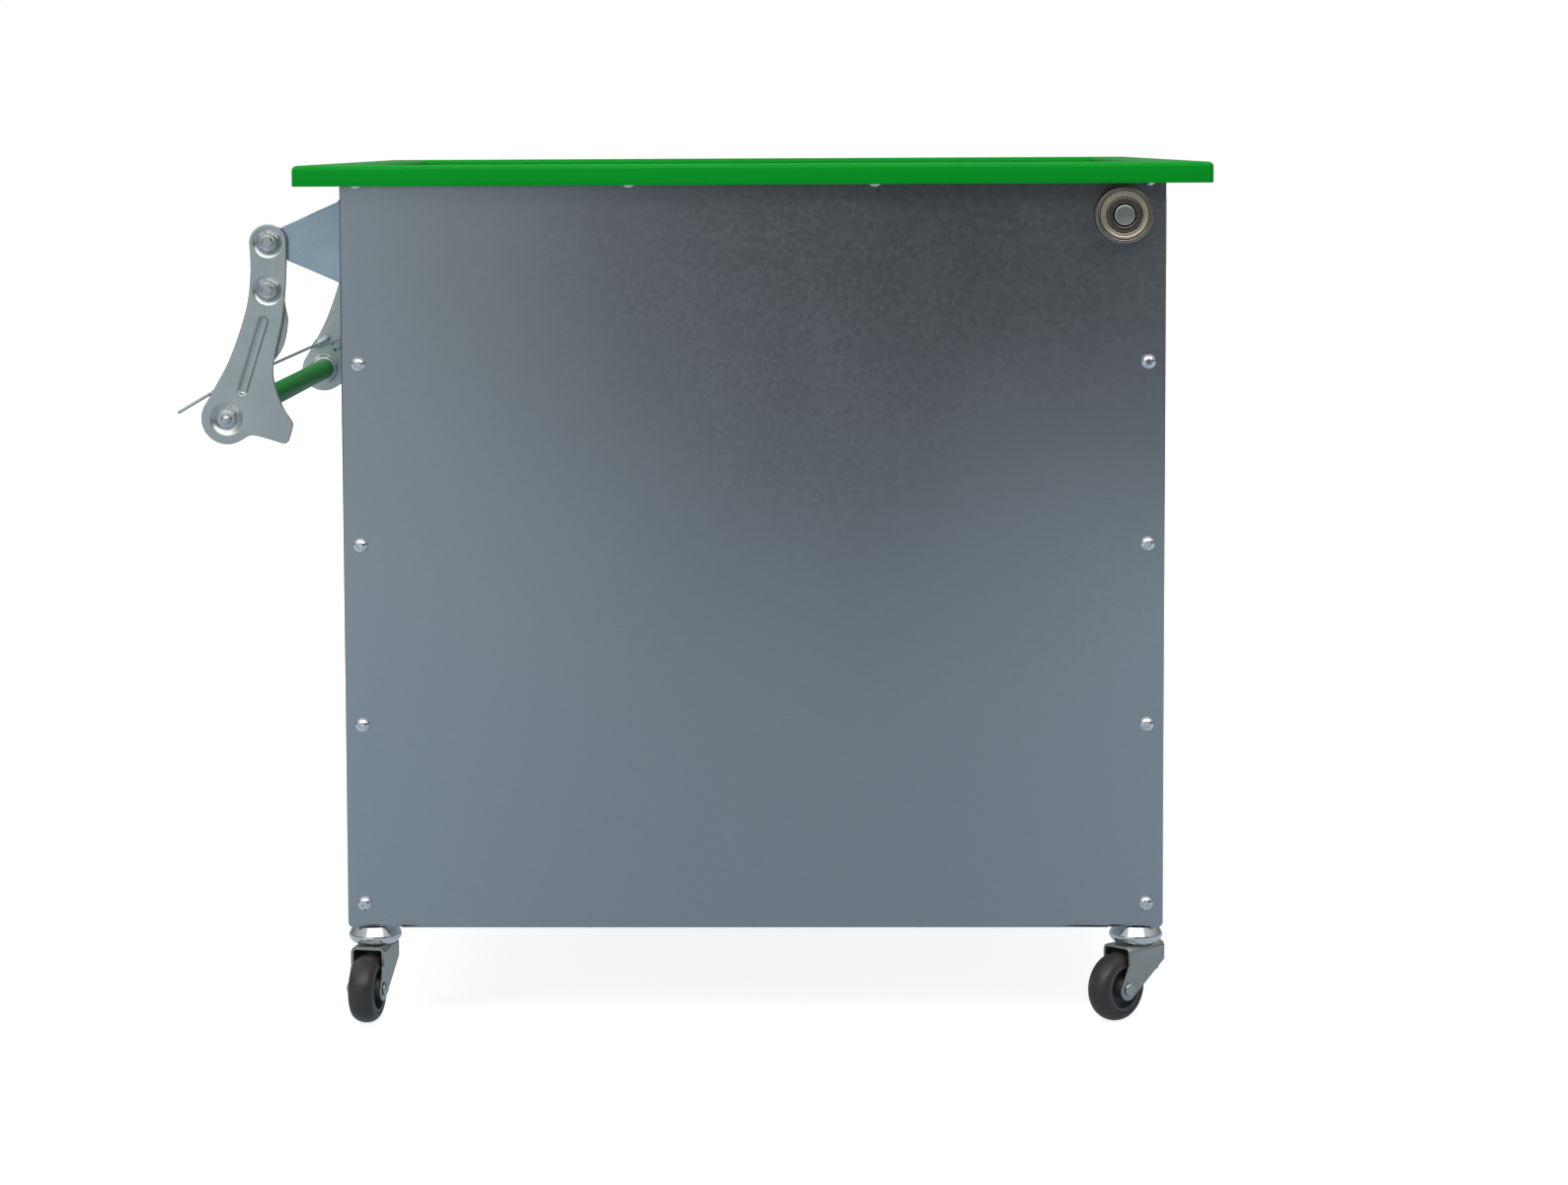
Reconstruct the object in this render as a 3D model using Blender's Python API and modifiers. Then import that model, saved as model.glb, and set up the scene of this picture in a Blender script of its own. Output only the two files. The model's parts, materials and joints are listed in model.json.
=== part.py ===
"""Wheeled collecting bin: a folded sheet-steel box on four swivel castors, with a green rim,
two ball-bearing guide rollers and a swinging two-armed handle with a latch on its left end.

+X runs to the right along the front, +Y to the back, +Z up. The origin is on the floor, under the
centre of the whole bin, handle included. All lengths are metres and all angles degrees.
"""

import math

import bmesh
import bpy
from mathutils import Vector

# Fits
GAP = 0.0003
BORE_GAP = 0.0003

# Sheet-steel box
BOX_WIDTH = 0.600
BOX_DEPTH = 0.600
BIN_HEIGHT = 0.561
SHEET = 0.0015
FOLD_RADIUS = 0.003
FLANGE = 0.040
NOTCH = 0.005

# Rim, four mitred lengths of painted sheet folded to an inverted U
RIM_SHEET = 0.0015
RIM_OVERHANG = 0.030
RIM_LIP = 0.015
RIM_LEG = 0.026
RIM_BEND = 0.0035

# Guide rollers, one on each long panel
ROLLER_INSET = 0.0325
ROLLER_DROP = 0.038
ROLLER_STANDOFF = 0.008
BEARING_BORE = 0.017
BEARING_DIAMETER = 0.040
BEARING_WIDTH = 0.012
BALL_DIAMETER = 0.0064
BALL_COUNT = 8
BALL_RUNNING_GAP = 0.0003
RACE_LAND = 0.0022
RING_CHAMFER = 0.0007
CAGE_WIDTH = 0.0034
CAGE_THICKNESS = 0.0012
SHIELD_SHEET = 0.0005
SHIELD_SEAT = 0.0009
SHIELD_INSET = 0.0004
SHANK_DIAMETER = 0.022
BACKING_DIAMETER = 0.038
BACKING_THICKNESS = 0.004
SHAFT_PROUD = 0.0008
SHAFT_CHAMFER = 0.001

# Handle pivot: out from the left wall and down from the rim's top
PIVOT_OUT = 0.0545
PIVOT_DROP = 0.0565
BRACKET_SHEET = 0.003
BRACKET_EYE = 0.013
BRACKET_EYE_ANGLE = 54.0
BRACKET_HALF_HEIGHT = 0.0310
BRACKET_FOOT = 0.025

# Pressed handle arms, measured across and up from the handle pivot
ARM_INSET = 0.020
ARM_SHEET = 0.0025
ARM_TOP_RADIUS = 0.0137
LATCH_PIVOT = (-0.0004, -0.0347)
GRIP = (-0.0319, -0.1289)
GRIP_END_RADIUS = 0.0192
ARM_OUTER_EDGE = ((-0.0132, -0.0210), (-0.0168, -0.0484), (-0.0288, -0.0833), (-0.0416, -0.1075))
ARM_LOWER_EDGE = ((-0.0140, -0.1416), (-0.0020, -0.1442), (0.0095, -0.1476))
ARM_NOSE = ((0.0134, -0.1458), (0.0150, -0.1410), (0.0167, -0.1345), (0.0161, -0.1310))
ARM_INNER_EDGE = ((0.0081, -0.1170), (0.0027, -0.0928), (0.0101, -0.0552), (0.0131, -0.0269))
DISH_DEPTH = 0.003
DISH_RADIUS = 0.0107
DISH_TAPER = 0.0030
GRIP_DISH_RADIUS = 0.0124
RIB_START = (-0.0040, -0.0575)
RIB_END = (-0.0200, -0.1080)
RIB_WIDTH = 0.0080
RIB_DEPTH = 0.0022

# Grip tube round the grip bolt
TUBE_DIAMETER = 0.0172
TUBE_WALL = 0.0023

# Pivot bolts and nuts
BOLT_DIAMETER = 0.008
BOLT_HEAD_ACROSS = 0.013
BOLT_HEAD_HEIGHT = 0.0053
NUT_HEIGHT = 0.0065
NUT_COLLAR_HEIGHT = 0.0018
NUT_COLLAR_DIAMETER = 0.0112
BOLT_PROUD = 0.0006
CAP_DOME_DIAMETER = 0.0116
CAP_DOME_HEIGHT = 0.0055
CAP_BORE_DEPTH = 0.0075

# Latch hooks and their trigger wire, measured from the handle pivot
HOOK_SHEET = 0.003
HOOK_EYE = 0.0115
HOOK_TAIL = (-0.0385, -0.1070)
HOOK_TAIL_RADIUS = 0.005
HOOK_BELLY = ((-0.0220, -0.1045), (-0.0070, -0.0965), (0.0083, -0.0788), (0.0131, -0.0592), (0.0117, -0.0480))
HOOK_BACK = ((-0.0125, -0.0480), (-0.0160, -0.0640), (-0.0235, -0.0830))
WIRE_DIAMETER = 0.0026
WIRE_BEND = 0.0034
FINGER_ANGLE = 210.5
FINGER_LENGTH = 0.0365
FAR_FINGER_LENGTH = 0.0150
SLEEVE_START = 0.0038
SLEEVE_LENGTH = 0.0095
SLEEVE_DIAMETER = 0.0068
SLEEVE_GROOVE = 0.0007
SLEEVE_RIBS = 4

# Castors
CASTOR_HEIGHT = 0.069
CASTOR_INSET = 0.0185
CASTOR_HEADINGS = {"front_left": -10.0, "front_right": -46.0, "rear_left": 24.0, "rear_right": -20.0}
CASTOR_BOLT_DIAMETER = 0.010
CASTOR_BOLT_ACROSS = 0.017
CASTOR_BOLT_HEAD = 0.0064
CASTOR_COLLAR_DIAMETER = 0.016
CASTOR_COLLAR_HEIGHT = 0.003
HEAD_DIAMETER = 0.040
HEAD_HEIGHT = 0.013
HEAD_SHOULDER = 0.009
SWIVEL_GAP = 0.0004
WHEEL_DIAMETER = 0.050
WHEEL_TRAIL = 0.022
TYRE_WIDTH = 0.0186
TYRE_THICKNESS = 0.007
TREAD_CROWN = 0.0058
HUB_BOSS_DIAMETER = 0.015
HUB_WEB = 0.006
HUB_RIM = 0.003
FORK_GAP = 0.0216
FORK_SHEET = 0.002
FORK_BEND = 0.0036
FORK_FRONT = 0.0180
FORK_BACK = 0.0215
FORK_EYE_RADIUS = 0.0088
FORK_SHOULDER = 0.014
AXLE_DIAMETER = 0.008
AXLE_HEAD_DIAMETER = 0.0125
AXLE_HEAD_HEIGHT = 0.0022

# Facet counts
ROUND_STEPS = 20
HUB_STEPS = 16
SMALL_STEPS = 12
BOLT_STEPS = 10
CURVE_STEPS = 3
BEND_STEPS = 2

# Places worked out from the sizes above
BOX_BOTTOM = CASTOR_HEIGHT
RIM_TOP = BOX_BOTTOM + BIN_HEIGHT
RIM_INNER_BEND = RIM_BEND - RIM_SHEET
WALL_TOP = RIM_TOP - RIM_SHEET - RIM_INNER_BEND - GAP
FINGER_REACH = -HOOK_TAIL[0] - FINGER_LENGTH * math.cos(math.radians(FINGER_ANGLE)) + WIRE_DIAMETER / 4
LEFT_REACH = BOX_WIDTH / 2 + PIVOT_OUT + FINGER_REACH
RIGHT_REACH = BOX_WIDTH / 2 + RIM_OVERHANG
BOX_X = (LEFT_REACH - RIGHT_REACH) / 2
PIVOT_X = BOX_X - BOX_WIDTH / 2 - PIVOT_OUT
PIVOT_Z = RIM_TOP - PIVOT_DROP
ARM_OUTSIDE = BOX_DEPTH / 2 - ARM_INSET
BOSS_FACE = ARM_OUTSIDE - ARM_SHEET - DISH_DEPTH
LINK_OUTSIDE = BOSS_FACE - GAP
WIRE_Y = LINK_OUTSIDE - HOOK_SHEET - GAP - WIRE_DIAMETER / 2
SLEEVE_Y = LINK_OUTSIDE - HOOK_SHEET - GAP - SLEEVE_DIAMETER / 2
PITCH_RADIUS = (BEARING_BORE + BEARING_DIAMETER) / 4
FLOOR_TOP = BOX_BOTTOM + SHEET + GAP + SHEET
SIDES = {"near": -1, "far": 1}
RIM_SIDES = ("near", "right", "far", "left")


def clear_scene():
    for old in list(bpy.data.objects):
        bpy.data.objects.remove(old, do_unlink=True)


def new_collection(name, hidden=False):
    made = bpy.data.collections.new(name)
    made.hide_render = hidden
    bpy.context.scene.collection.children.link(made)
    return made


clear_scene()
PARTS = new_collection("collecting_bin")
CUTTERS = new_collection("cutters", hidden=True)


def finish(name, colour, roughness, metallic):
    made = bpy.data.materials.new(name)
    made.use_nodes = True
    shader = made.node_tree.nodes["Principled BSDF"]
    shader.inputs["Base Color"].default_value = (*colour, 1.0)
    shader.inputs["Roughness"].default_value = roughness
    shader.inputs["Metallic"].default_value = metallic
    made.diffuse_color = (*colour, 1.0)
    return made


GALVANISED = finish("galvanised_sheet", (0.22, 0.24, 0.26), 0.42, 1.0)
GREEN_PAINT = finish("green_paint", (0.004, 0.27, 0.03), 0.35, 0.0)
ZINC = finish("zinc_plated_steel", (0.52, 0.55, 0.60), 0.30, 1.0)
BRIGHT_STEEL = finish("bright_steel", (0.60, 0.60, 0.60), 0.18, 1.0)
FORK_STEEL = finish("pressed_fork_steel", (0.30, 0.30, 0.31), 0.38, 1.0)
TYRE_RUBBER = finish("tyre_rubber", (0.035, 0.036, 0.038), 0.60, 0.0)
HUB_PLASTIC = finish("hub_plastic", (0.055, 0.056, 0.060), 0.50, 0.0)


def joint_empty(name, place, parent=None, turn_z=0.0):
    """An empty on a joint's axis, which carries the pieces that turn there."""
    made = bpy.data.objects.new(name, None)
    made.empty_display_size = 0.02
    made.location = place
    made.rotation_euler = (0.0, 0.0, math.radians(turn_z))
    made.parent = parent
    PARTS.objects.link(made)
    return made


def add_piece(name, data, material, parent=None, place=(0.0, 0.0, 0.0), turn=(0.0, 0.0, 0.0)):
    """A visible piece with its material, or a hidden cutter where the material is None."""
    made = bpy.data.objects.new(name, data)
    made.parent = parent
    made.location = place
    made.rotation_euler = turn
    if material is None:
        made.hide_render = True
        made.display_type = "WIRE"
        CUTTERS.objects.link(made)
        return made
    data.materials.append(material)
    PARTS.objects.link(made)
    return made


def mesh_of(bm, name):
    data = bpy.data.meshes.new(name)
    bm.to_mesh(data)
    bm.free()
    return data


def box_mesh(name, low, high, kept=None):
    """A box between two corners; kept lists the face directions to keep for an open sheet."""
    bm = bmesh.new()
    bmesh.ops.create_cube(bm, size=1.0)
    low = Vector(low)
    high = Vector(high)
    for vert in bm.verts:
        share = vert.co + Vector((0.5, 0.5, 0.5))
        vert.co = Vector(low[i] + (high[i] - low[i]) * share[i] for i in range(3))
    bm.normal_update()
    if kept:
        wanted = [Vector(direction) for direction in kept]
        spare = [face for face in bm.faces if not any(face.normal.dot(d) > 0.9 for d in wanted)]
        bmesh.ops.delete(bm, geom=spare, context="FACES")
    return mesh_of(bm, name)


def folded_sheet(name, low, high, kept, material):
    """Sheet folded along the edges where the kept faces of a box meet, with its thickness inside."""
    made = add_piece(name, box_mesh(name, low, high, kept), material)
    fold = made.modifiers.new("folds", "BEVEL")
    fold.width = FOLD_RADIUS
    fold.segments = BEND_STEPS
    fold.limit_method = "ANGLE"
    fold.use_clamp_overlap = False
    wall = made.modifiers.new("sheet", "SOLIDIFY")
    wall.thickness = SHEET
    wall.offset = -1.0
    wall.use_even_offset = True
    return made


def boolean(target, operation, tools):
    """Joins or cuts target with each tool in turn."""
    for tool in tools:
        step = target.modifiers.new(tool.name, "BOOLEAN")
        step.operation = operation
        step.object = tool
        step.solver = "EXACT"
    return target


def turned(name, profile, material, steps, parent=None, place=(0, 0, 0), turn=(0, 0, 0), ring=False):
    """A shape turned about local Z from (radius, height) points that run down its outer side.

    A ring's profile closes on itself; any other starts and ends on the axis.
    """
    bm = bmesh.new()
    corners = [bm.verts.new((radius, 0.0, height)) for radius, height in profile]
    pairs = list(zip(corners, corners[1:]))
    if ring:
        pairs.append((corners[-1], corners[0]))
    for pair in pairs:
        bm.edges.new(pair)
    made = add_piece(name, mesh_of(bm, name), material, parent, place, turn)
    spin = made.modifiers.new("turned", "SCREW")
    spin.steps = steps
    spin.render_steps = steps
    spin.use_merge_vertices = True
    spin.merge_threshold = 0.00001
    spin.use_smooth_shade = True
    return made


def drilled(name, diameter, length, parent=None, place=(0, 0, 0), turn=(0, 0, 0), steps=SMALL_STEPS):
    """A drill through place, centred on it, along local Z."""
    radius = (diameter / 2 + BORE_GAP) / math.cos(math.pi / steps)
    bm = bmesh.new()
    bmesh.ops.create_cone(
        bm, cap_ends=True, segments=steps, radius1=radius, radius2=radius, depth=length
    )
    return add_piece(name, mesh_of(bm, name), None, parent, place, turn)


def hexagon(name, across, low, high, material, parent, place, turn):
    bm = bmesh.new()
    radius = across / 2 / math.cos(math.pi / 6)
    bmesh.ops.create_cone(
        bm, cap_ends=True, segments=6, radius1=radius, radius2=radius, depth=high - low
    )
    bmesh.ops.translate(bm, vec=(0.0, 0.0, (low + high) / 2), verts=bm.verts)
    return add_piece(name, mesh_of(bm, name), material, parent, place, turn)


def outward(side):
    """The turn that points local Z out of the bin's near or far side."""
    return (-side * math.pi / 2, 0.0, 0.0)


UPRIGHT = (math.pi / 2, 0.0, 0.0)


def arc(centre, radius, start, end, steps):
    """Points along an arc, from start to end in degrees."""
    angles = [math.radians(start + (end - start) * i / steps) for i in range(steps + 1)]
    return [(centre[0] + radius * math.cos(a), centre[1] + radius * math.sin(a)) for a in angles]


def smooth_run(points, steps=BEND_STEPS):
    """Points of a smooth curve through the given ones, without its first and last."""
    knots = [Vector(p) for p in points]
    knots = [2 * knots[0] - knots[1], *knots, 2 * knots[-1] - knots[-2]]
    run = []
    for before, start, end, after in zip(knots, knots[1:], knots[2:], knots[3:]):
        for i in range(steps):
            t = i / steps
            pull = (end - before) * t + (2 * before - 5 * start + 4 * end - after) * t * t
            run.append(start + 0.5 * (pull + (3 * start - before - 3 * end + after) * t**3))
    return [tuple(p) for p in run[1:]]


def plate(name, outline, thickness, material, parent=None, place=(0, 0, 0), turn=UPRIGHT, solid=False):
    """A flat outline of the given thickness, centred on its plane; solid makes it a mesh at once."""
    curve = bpy.data.curves.new(name, "CURVE")
    curve.dimensions = "2D"
    curve.fill_mode = "BOTH"
    curve.extrude = thickness / 2
    spline = curve.splines.new("POLY")
    spline.points.add(len(outline) - 1)
    for point, (x, y) in zip(spline.points, outline):
        point.co = (x, y, 0.0, 1.0)
    spline.use_cyclic_u = True
    if not solid:
        return add_piece(name, curve, material, parent, place, turn)
    data = mesh_from_curve(curve)
    data.name = name
    return add_piece(name, data, material, parent, place, turn)


def mesh_from_curve(curve):
    """The closed mesh of a curve, with its caps welded on."""
    guide = bpy.data.objects.new("outline", curve)
    CUTTERS.objects.link(guide)
    bpy.context.view_layer.update()
    graph = bpy.context.evaluated_depsgraph_get()
    data = bpy.data.meshes.new_from_object(guide.evaluated_get(graph))
    bpy.data.objects.remove(guide, do_unlink=True)
    bm = bmesh.new()
    bm.from_mesh(data)
    bmesh.ops.remove_doubles(bm, verts=bm.verts, dist=0.000001)
    bmesh.ops.recalc_face_normals(bm, faces=bm.faces)
    bm.to_mesh(data)
    bm.free()
    return data


def finished_mesh(made):
    """The mesh of a piece with its modifiers and its place applied; the piece itself is removed."""
    bpy.context.view_layer.update()
    graph = bpy.context.evaluated_depsgraph_get()
    data = bpy.data.meshes.new_from_object(made.evaluated_get(graph))
    data.transform(made.matrix_world)
    bpy.data.objects.remove(made, do_unlink=True)
    return data


def side_wall(name, hand):
    """A wall folded in along its front, back and bottom edges, notched at the top for the rim's leg."""
    outside = BOX_X + hand * BOX_WIDTH / 2
    inside = outside - hand * FLANGE
    half = BOX_DEPTH / 2 - SHEET - GAP
    low = (min(outside, inside), -half, BOX_BOTTOM)
    high = (max(outside, inside), half, WALL_TOP)
    kept = ((hand, 0, 0), (0, -1, 0), (0, 1, 0), (0, 0, -1))
    wall = folded_sheet(name, low, high, kept, GALVANISED)
    notches = []
    for place, side in SIDES.items():
        edge = side * (half - NOTCH)
        end = side * BOX_DEPTH
        notch_low = (low[0] - FLANGE, min(edge, end), RIM_TOP - RIM_LEG - GAP)
        notch_high = (high[0] + FLANGE, max(edge, end), RIM_TOP)
        notches.append(add_piece(f"{name}_{place}_notch", box_mesh("notch", notch_low, notch_high), None))
    return boolean(wall, "DIFFERENCE", notches)


def long_panel(name, side):
    """A flat panel over the walls' flanges, with its bottom edge folded in between them."""
    face = side * BOX_DEPTH / 2
    fold = face - side * FLANGE
    half = BOX_WIDTH / 2 - SHEET
    low = (BOX_X - half, min(face, fold), BOX_BOTTOM)
    high = (BOX_X + half, max(face, fold), WALL_TOP)
    panel = folded_sheet(name, low, high, ((0, side, 0), (0, 0, -1)), GALVANISED)
    corners = []
    for hand, word in ((-1, "left"), (1, "right")):
        edge = BOX_X + hand * (BOX_WIDTH / 2 - FLANGE - GAP)
        end = BOX_X + hand * BOX_WIDTH
        cut_low = (min(edge, end), -BOX_DEPTH, BOX_BOTTOM - FLANGE)
        cut_high = (max(edge, end), BOX_DEPTH, BOX_BOTTOM + FOLD_RADIUS + GAP)
        corners.append(add_piece(f"{name}_{word}_corner", box_mesh("corner", cut_low, cut_high), None))
    return boolean(panel, "DIFFERENCE", corners)


def floor_sheet():
    """The loose floor: a flat sheet that rests on the bottom flanges."""
    half_width = BOX_WIDTH / 2 - FOLD_RADIUS - GAP
    half_depth = BOX_DEPTH / 2 - SHEET - FOLD_RADIUS - 2 * GAP
    low = (BOX_X - half_width, -half_depth, FLOOR_TOP - SHEET)
    high = (BOX_X + half_width, half_depth, FLOOR_TOP)
    return add_piece("floor_sheet", box_mesh("floor_sheet", low, high), GALVANISED)


def rim_section():
    """The rim's folded section as (outward offset from the box, height) points."""
    leg_out = -SHEET - GAP
    leg_in = leg_out - RIM_SHEET
    lip_foot = RIM_TOP - RIM_LIP
    leg_foot = RIM_TOP - RIM_LEG
    high_bend = RIM_TOP - RIM_BEND
    outer = arc((RIM_OVERHANG - RIM_BEND, high_bend), RIM_BEND, 0, 90, CURVE_STEPS)
    outer += arc((leg_in + RIM_BEND, high_bend), RIM_BEND, 90, 180, CURVE_STEPS)
    inner = arc((leg_in + RIM_BEND, high_bend), RIM_INNER_BEND, 180, 90, BEND_STEPS)
    inner += arc((RIM_OVERHANG - RIM_BEND, high_bend), RIM_INNER_BEND, 90, 0, BEND_STEPS)
    lip_in = RIM_OVERHANG - RIM_SHEET
    return [
        (RIM_OVERHANG, lip_foot), *outer, (leg_in, leg_foot),
        (leg_out, leg_foot), *inner, (lip_in, lip_foot),
    ]


def rim_lengths():
    """The rim's section run along each side of the box, with mitred ends that meet at the corners."""
    for number, name in enumerate(RIM_SIDES):
        bm = bmesh.new()
        loops = []
        for offset, height in rim_section():
            x = BOX_WIDTH / 2 + offset
            y = BOX_DEPTH / 2 + offset
            corners = [Vector(corner) for corner in ((-x, -y), (x, -y), (x, y), (-x, y))]
            start = corners[number]
            end = corners[(number + 1) % len(corners)]
            mitre_gap = (end - start).normalized() * GAP
            ends = (start + mitre_gap, end - mitre_gap)
            loops.append([bm.verts.new((BOX_X + spot.x, spot.y, height)) for spot in ends])
        for loop, after in zip(loops, loops[1:] + loops[:1]):
            bm.faces.new((loop[0], loop[1], after[1], after[0]))
        bm.faces.new([loop[0] for loop in loops])
        bm.faces.new([loop[1] for loop in reversed(loops)])
        bmesh.ops.recalc_face_normals(bm, faces=bm.faces)
        add_piece(f"rim_{name}", mesh_of(bm, f"rim_{name}"), GREEN_PAINT)


def ring_groove(centre_radius, radius, land, inward):
    """Points of a ball groove across a ring's land, from its top edge to its bottom edge."""
    reach = math.degrees(math.acos((land - centre_radius) / radius))
    start, end = (reach, -reach) if inward else (reach, 360 - reach)
    return arc((centre_radius, 0.0), radius, start, end, CURVE_STEPS)


def guide_roller(place, side):
    """A ball bearing on a stub shaft that is fastened through the panel and the wall's flange."""
    centre_y = side * (BOX_DEPTH / 2 + ROLLER_STANDOFF + BEARING_WIDTH / 2)
    axis = (BOX_X + BOX_WIDTH / 2 - ROLLER_INSET, centre_y, RIM_TOP - ROLLER_DROP)
    hub = joint_empty(f"roller_{place}_axis", axis)
    turn = outward(side)
    half = BEARING_WIDTH / 2
    bore = BEARING_BORE / 2
    outside = BEARING_DIAMETER / 2
    groove = BALL_DIAMETER / 2 + BALL_RUNNING_GAP
    inner_land = PITCH_RADIUS - RACE_LAND
    outer_land = PITCH_RADIUS + RACE_LAND
    seat = outer_land + SHIELD_SEAT

    journal = bore - GAP
    shank = SHANK_DIAMETER / 2
    panel_face = -half - ROLLER_STANDOFF
    backing_face = panel_face - 2 * SHEET - 2 * GAP
    shaft = [
        (0.0, half + SHAFT_PROUD),
        (journal - SHAFT_CHAMFER, half + SHAFT_PROUD),
        (journal, half + SHAFT_PROUD - SHAFT_CHAMFER),
        (journal, -half - GAP),
        (shank, -half - GAP),
        (shank, backing_face),
        (BACKING_DIAMETER / 2, backing_face),
        (BACKING_DIAMETER / 2, backing_face - BACKING_THICKNESS),
        (0.0, backing_face - BACKING_THICKNESS),
    ]
    turned(f"roller_{place}_shaft", shaft, ZINC, ROUND_STEPS, hub, turn=turn)

    inner = [(bore, half - RING_CHAMFER), (bore + RING_CHAMFER, half), (inner_land, half)]
    inner += ring_groove(PITCH_RADIUS, groove, inner_land, inward=False)
    inner += [(inner_land, -half), (bore + RING_CHAMFER, -half), (bore, RING_CHAMFER - half)]
    turned(f"bearing_{place}_inner_ring", inner, BRIGHT_STEEL, ROUND_STEPS, hub, turn=turn, ring=True)

    shield_top = half - SHIELD_INSET
    shield_edge = inner_land + BALL_RUNNING_GAP
    shield_back = shield_top - SHIELD_SHEET
    outer = [(shield_edge, shield_top), (seat, shield_top), (seat, half), (outside - RING_CHAMFER, half)]
    outer += [(outside, half - RING_CHAMFER), (outside, RING_CHAMFER - half)]
    outer += [(outside - RING_CHAMFER, -half), (outer_land, -half)]
    outer += list(reversed(ring_groove(PITCH_RADIUS, groove, outer_land, inward=True)))
    outer += [(outer_land, shield_back), (shield_edge, shield_back)]
    turned(f"bearing_{place}_outer_ring", outer, BRIGHT_STEEL, ROUND_STEPS, hub, turn=turn, ring=True)
    ball_cage(place, hub, turn)

    drill = drilled(f"roller_{place}_drill", SHANK_DIAMETER, 4 * FLANGE, hub, turn=turn, steps=ROUND_STEPS)
    return drill


def ball_cage(place, hub, turn):
    """The ring of balls, held in one ribbon cage."""
    half = CAGE_WIDTH / 2
    low = PITCH_RADIUS - CAGE_THICKNESS / 2
    high = PITCH_RADIUS + CAGE_THICKNESS / 2
    ribbon = [(low, half), (high, half), (high, -half), (low, -half)]
    cage = turned(
        f"bearing_{place}_ball_cage", ribbon, BRIGHT_STEEL, 2 * BALL_COUNT, hub, turn=turn, ring=True
    )
    balls = []
    for i in range(BALL_COUNT):
        bm = bmesh.new()
        bmesh.ops.create_uvsphere(bm, u_segments=6, v_segments=4, radius=BALL_DIAMETER / 2)
        angle = 2 * math.pi * (i + 0.5) / BALL_COUNT
        spot = Vector((PITCH_RADIUS * math.cos(angle), PITCH_RADIUS * math.sin(angle), 0.0))
        bmesh.ops.translate(bm, vec=spot, verts=bm.verts)
        balls.append(add_piece(f"ball_{place}_{i}", mesh_of(bm, "ball"), None, hub, turn=turn))
    return boolean(cage, "UNION", balls)


def bracket(place, side, pivot):
    """The tapered bracket that carries the handle pivot, with its foot flat on the left wall."""
    reach = PIVOT_OUT - GAP
    half = BRACKET_HALF_HEIGHT
    eye = arc((0.0, 0.0), BRACKET_EYE, BRACKET_EYE_ANGLE, 360 - BRACKET_EYE_ANGLE, SMALL_STEPS)
    outline = [(reach, half), *eye, (reach, -half)]
    middle = side * (LINK_OUTSIDE - BRACKET_SHEET / 2)
    made = plate(
        f"handle_bracket_{place}", outline, BRACKET_SHEET, ZINC, pivot, (0, middle, 0), solid=True
    )
    ends = (side * (LINK_OUTSIDE - FOLD_RADIUS / 2), side * (LINK_OUTSIDE - BRACKET_FOOT))
    foot_low = (reach - BRACKET_SHEET, min(ends), -half)
    foot_high = (reach, max(ends), half)
    foot = add_piece(f"bracket_{place}_foot", box_mesh("foot", foot_low, foot_high), None, pivot)
    boolean(made, "UNION", [foot])
    drill = drilled(f"bracket_{place}_drill", BOLT_DIAMETER, FLANGE, pivot, (0, middle, 0), UPRIGHT)
    return boolean(made, "DIFFERENCE", [drill])


def arm_outline():
    """The arm's outline round its pivot end, down its outer edge, round the grip and up by the nose."""
    top = arc((0.0, 0.0), ARM_TOP_RADIUS, 0, 180, 8)
    end = arc(GRIP, GRIP_END_RADIUS, 152, 300, 8)
    outer = smooth_run([top[-1], *ARM_OUTER_EDGE, end[0]], CURVE_STEPS)
    lower = smooth_run([end[-1], *ARM_LOWER_EDGE, ARM_NOSE[0]])
    inner = smooth_run([ARM_NOSE[-1], *ARM_INNER_EDGE, top[0]])
    return [*top, *outer, *end, *lower, *ARM_NOSE, *inner]


def capsule(name, start, end, radius, depth, parent):
    """A round-ended bar from start to end, both (across, up), at one depth along Y."""
    run = Vector((end[0] - start[0], end[1] - start[1]))
    bm = bmesh.new()
    bmesh.ops.create_uvsphere(bm, u_segments=SMALL_STEPS, v_segments=5, radius=radius)
    for vert in bm.verts:
        vert.co.z += math.copysign(run.length / 2, vert.co.z)
    place = ((start[0] + end[0]) / 2, depth, (start[1] + end[1]) / 2)
    turn = (0.0, math.atan2(run.x, run.y), 0.0)
    return add_piece(name, mesh_of(bm, name), None, parent, place, turn)


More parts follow.
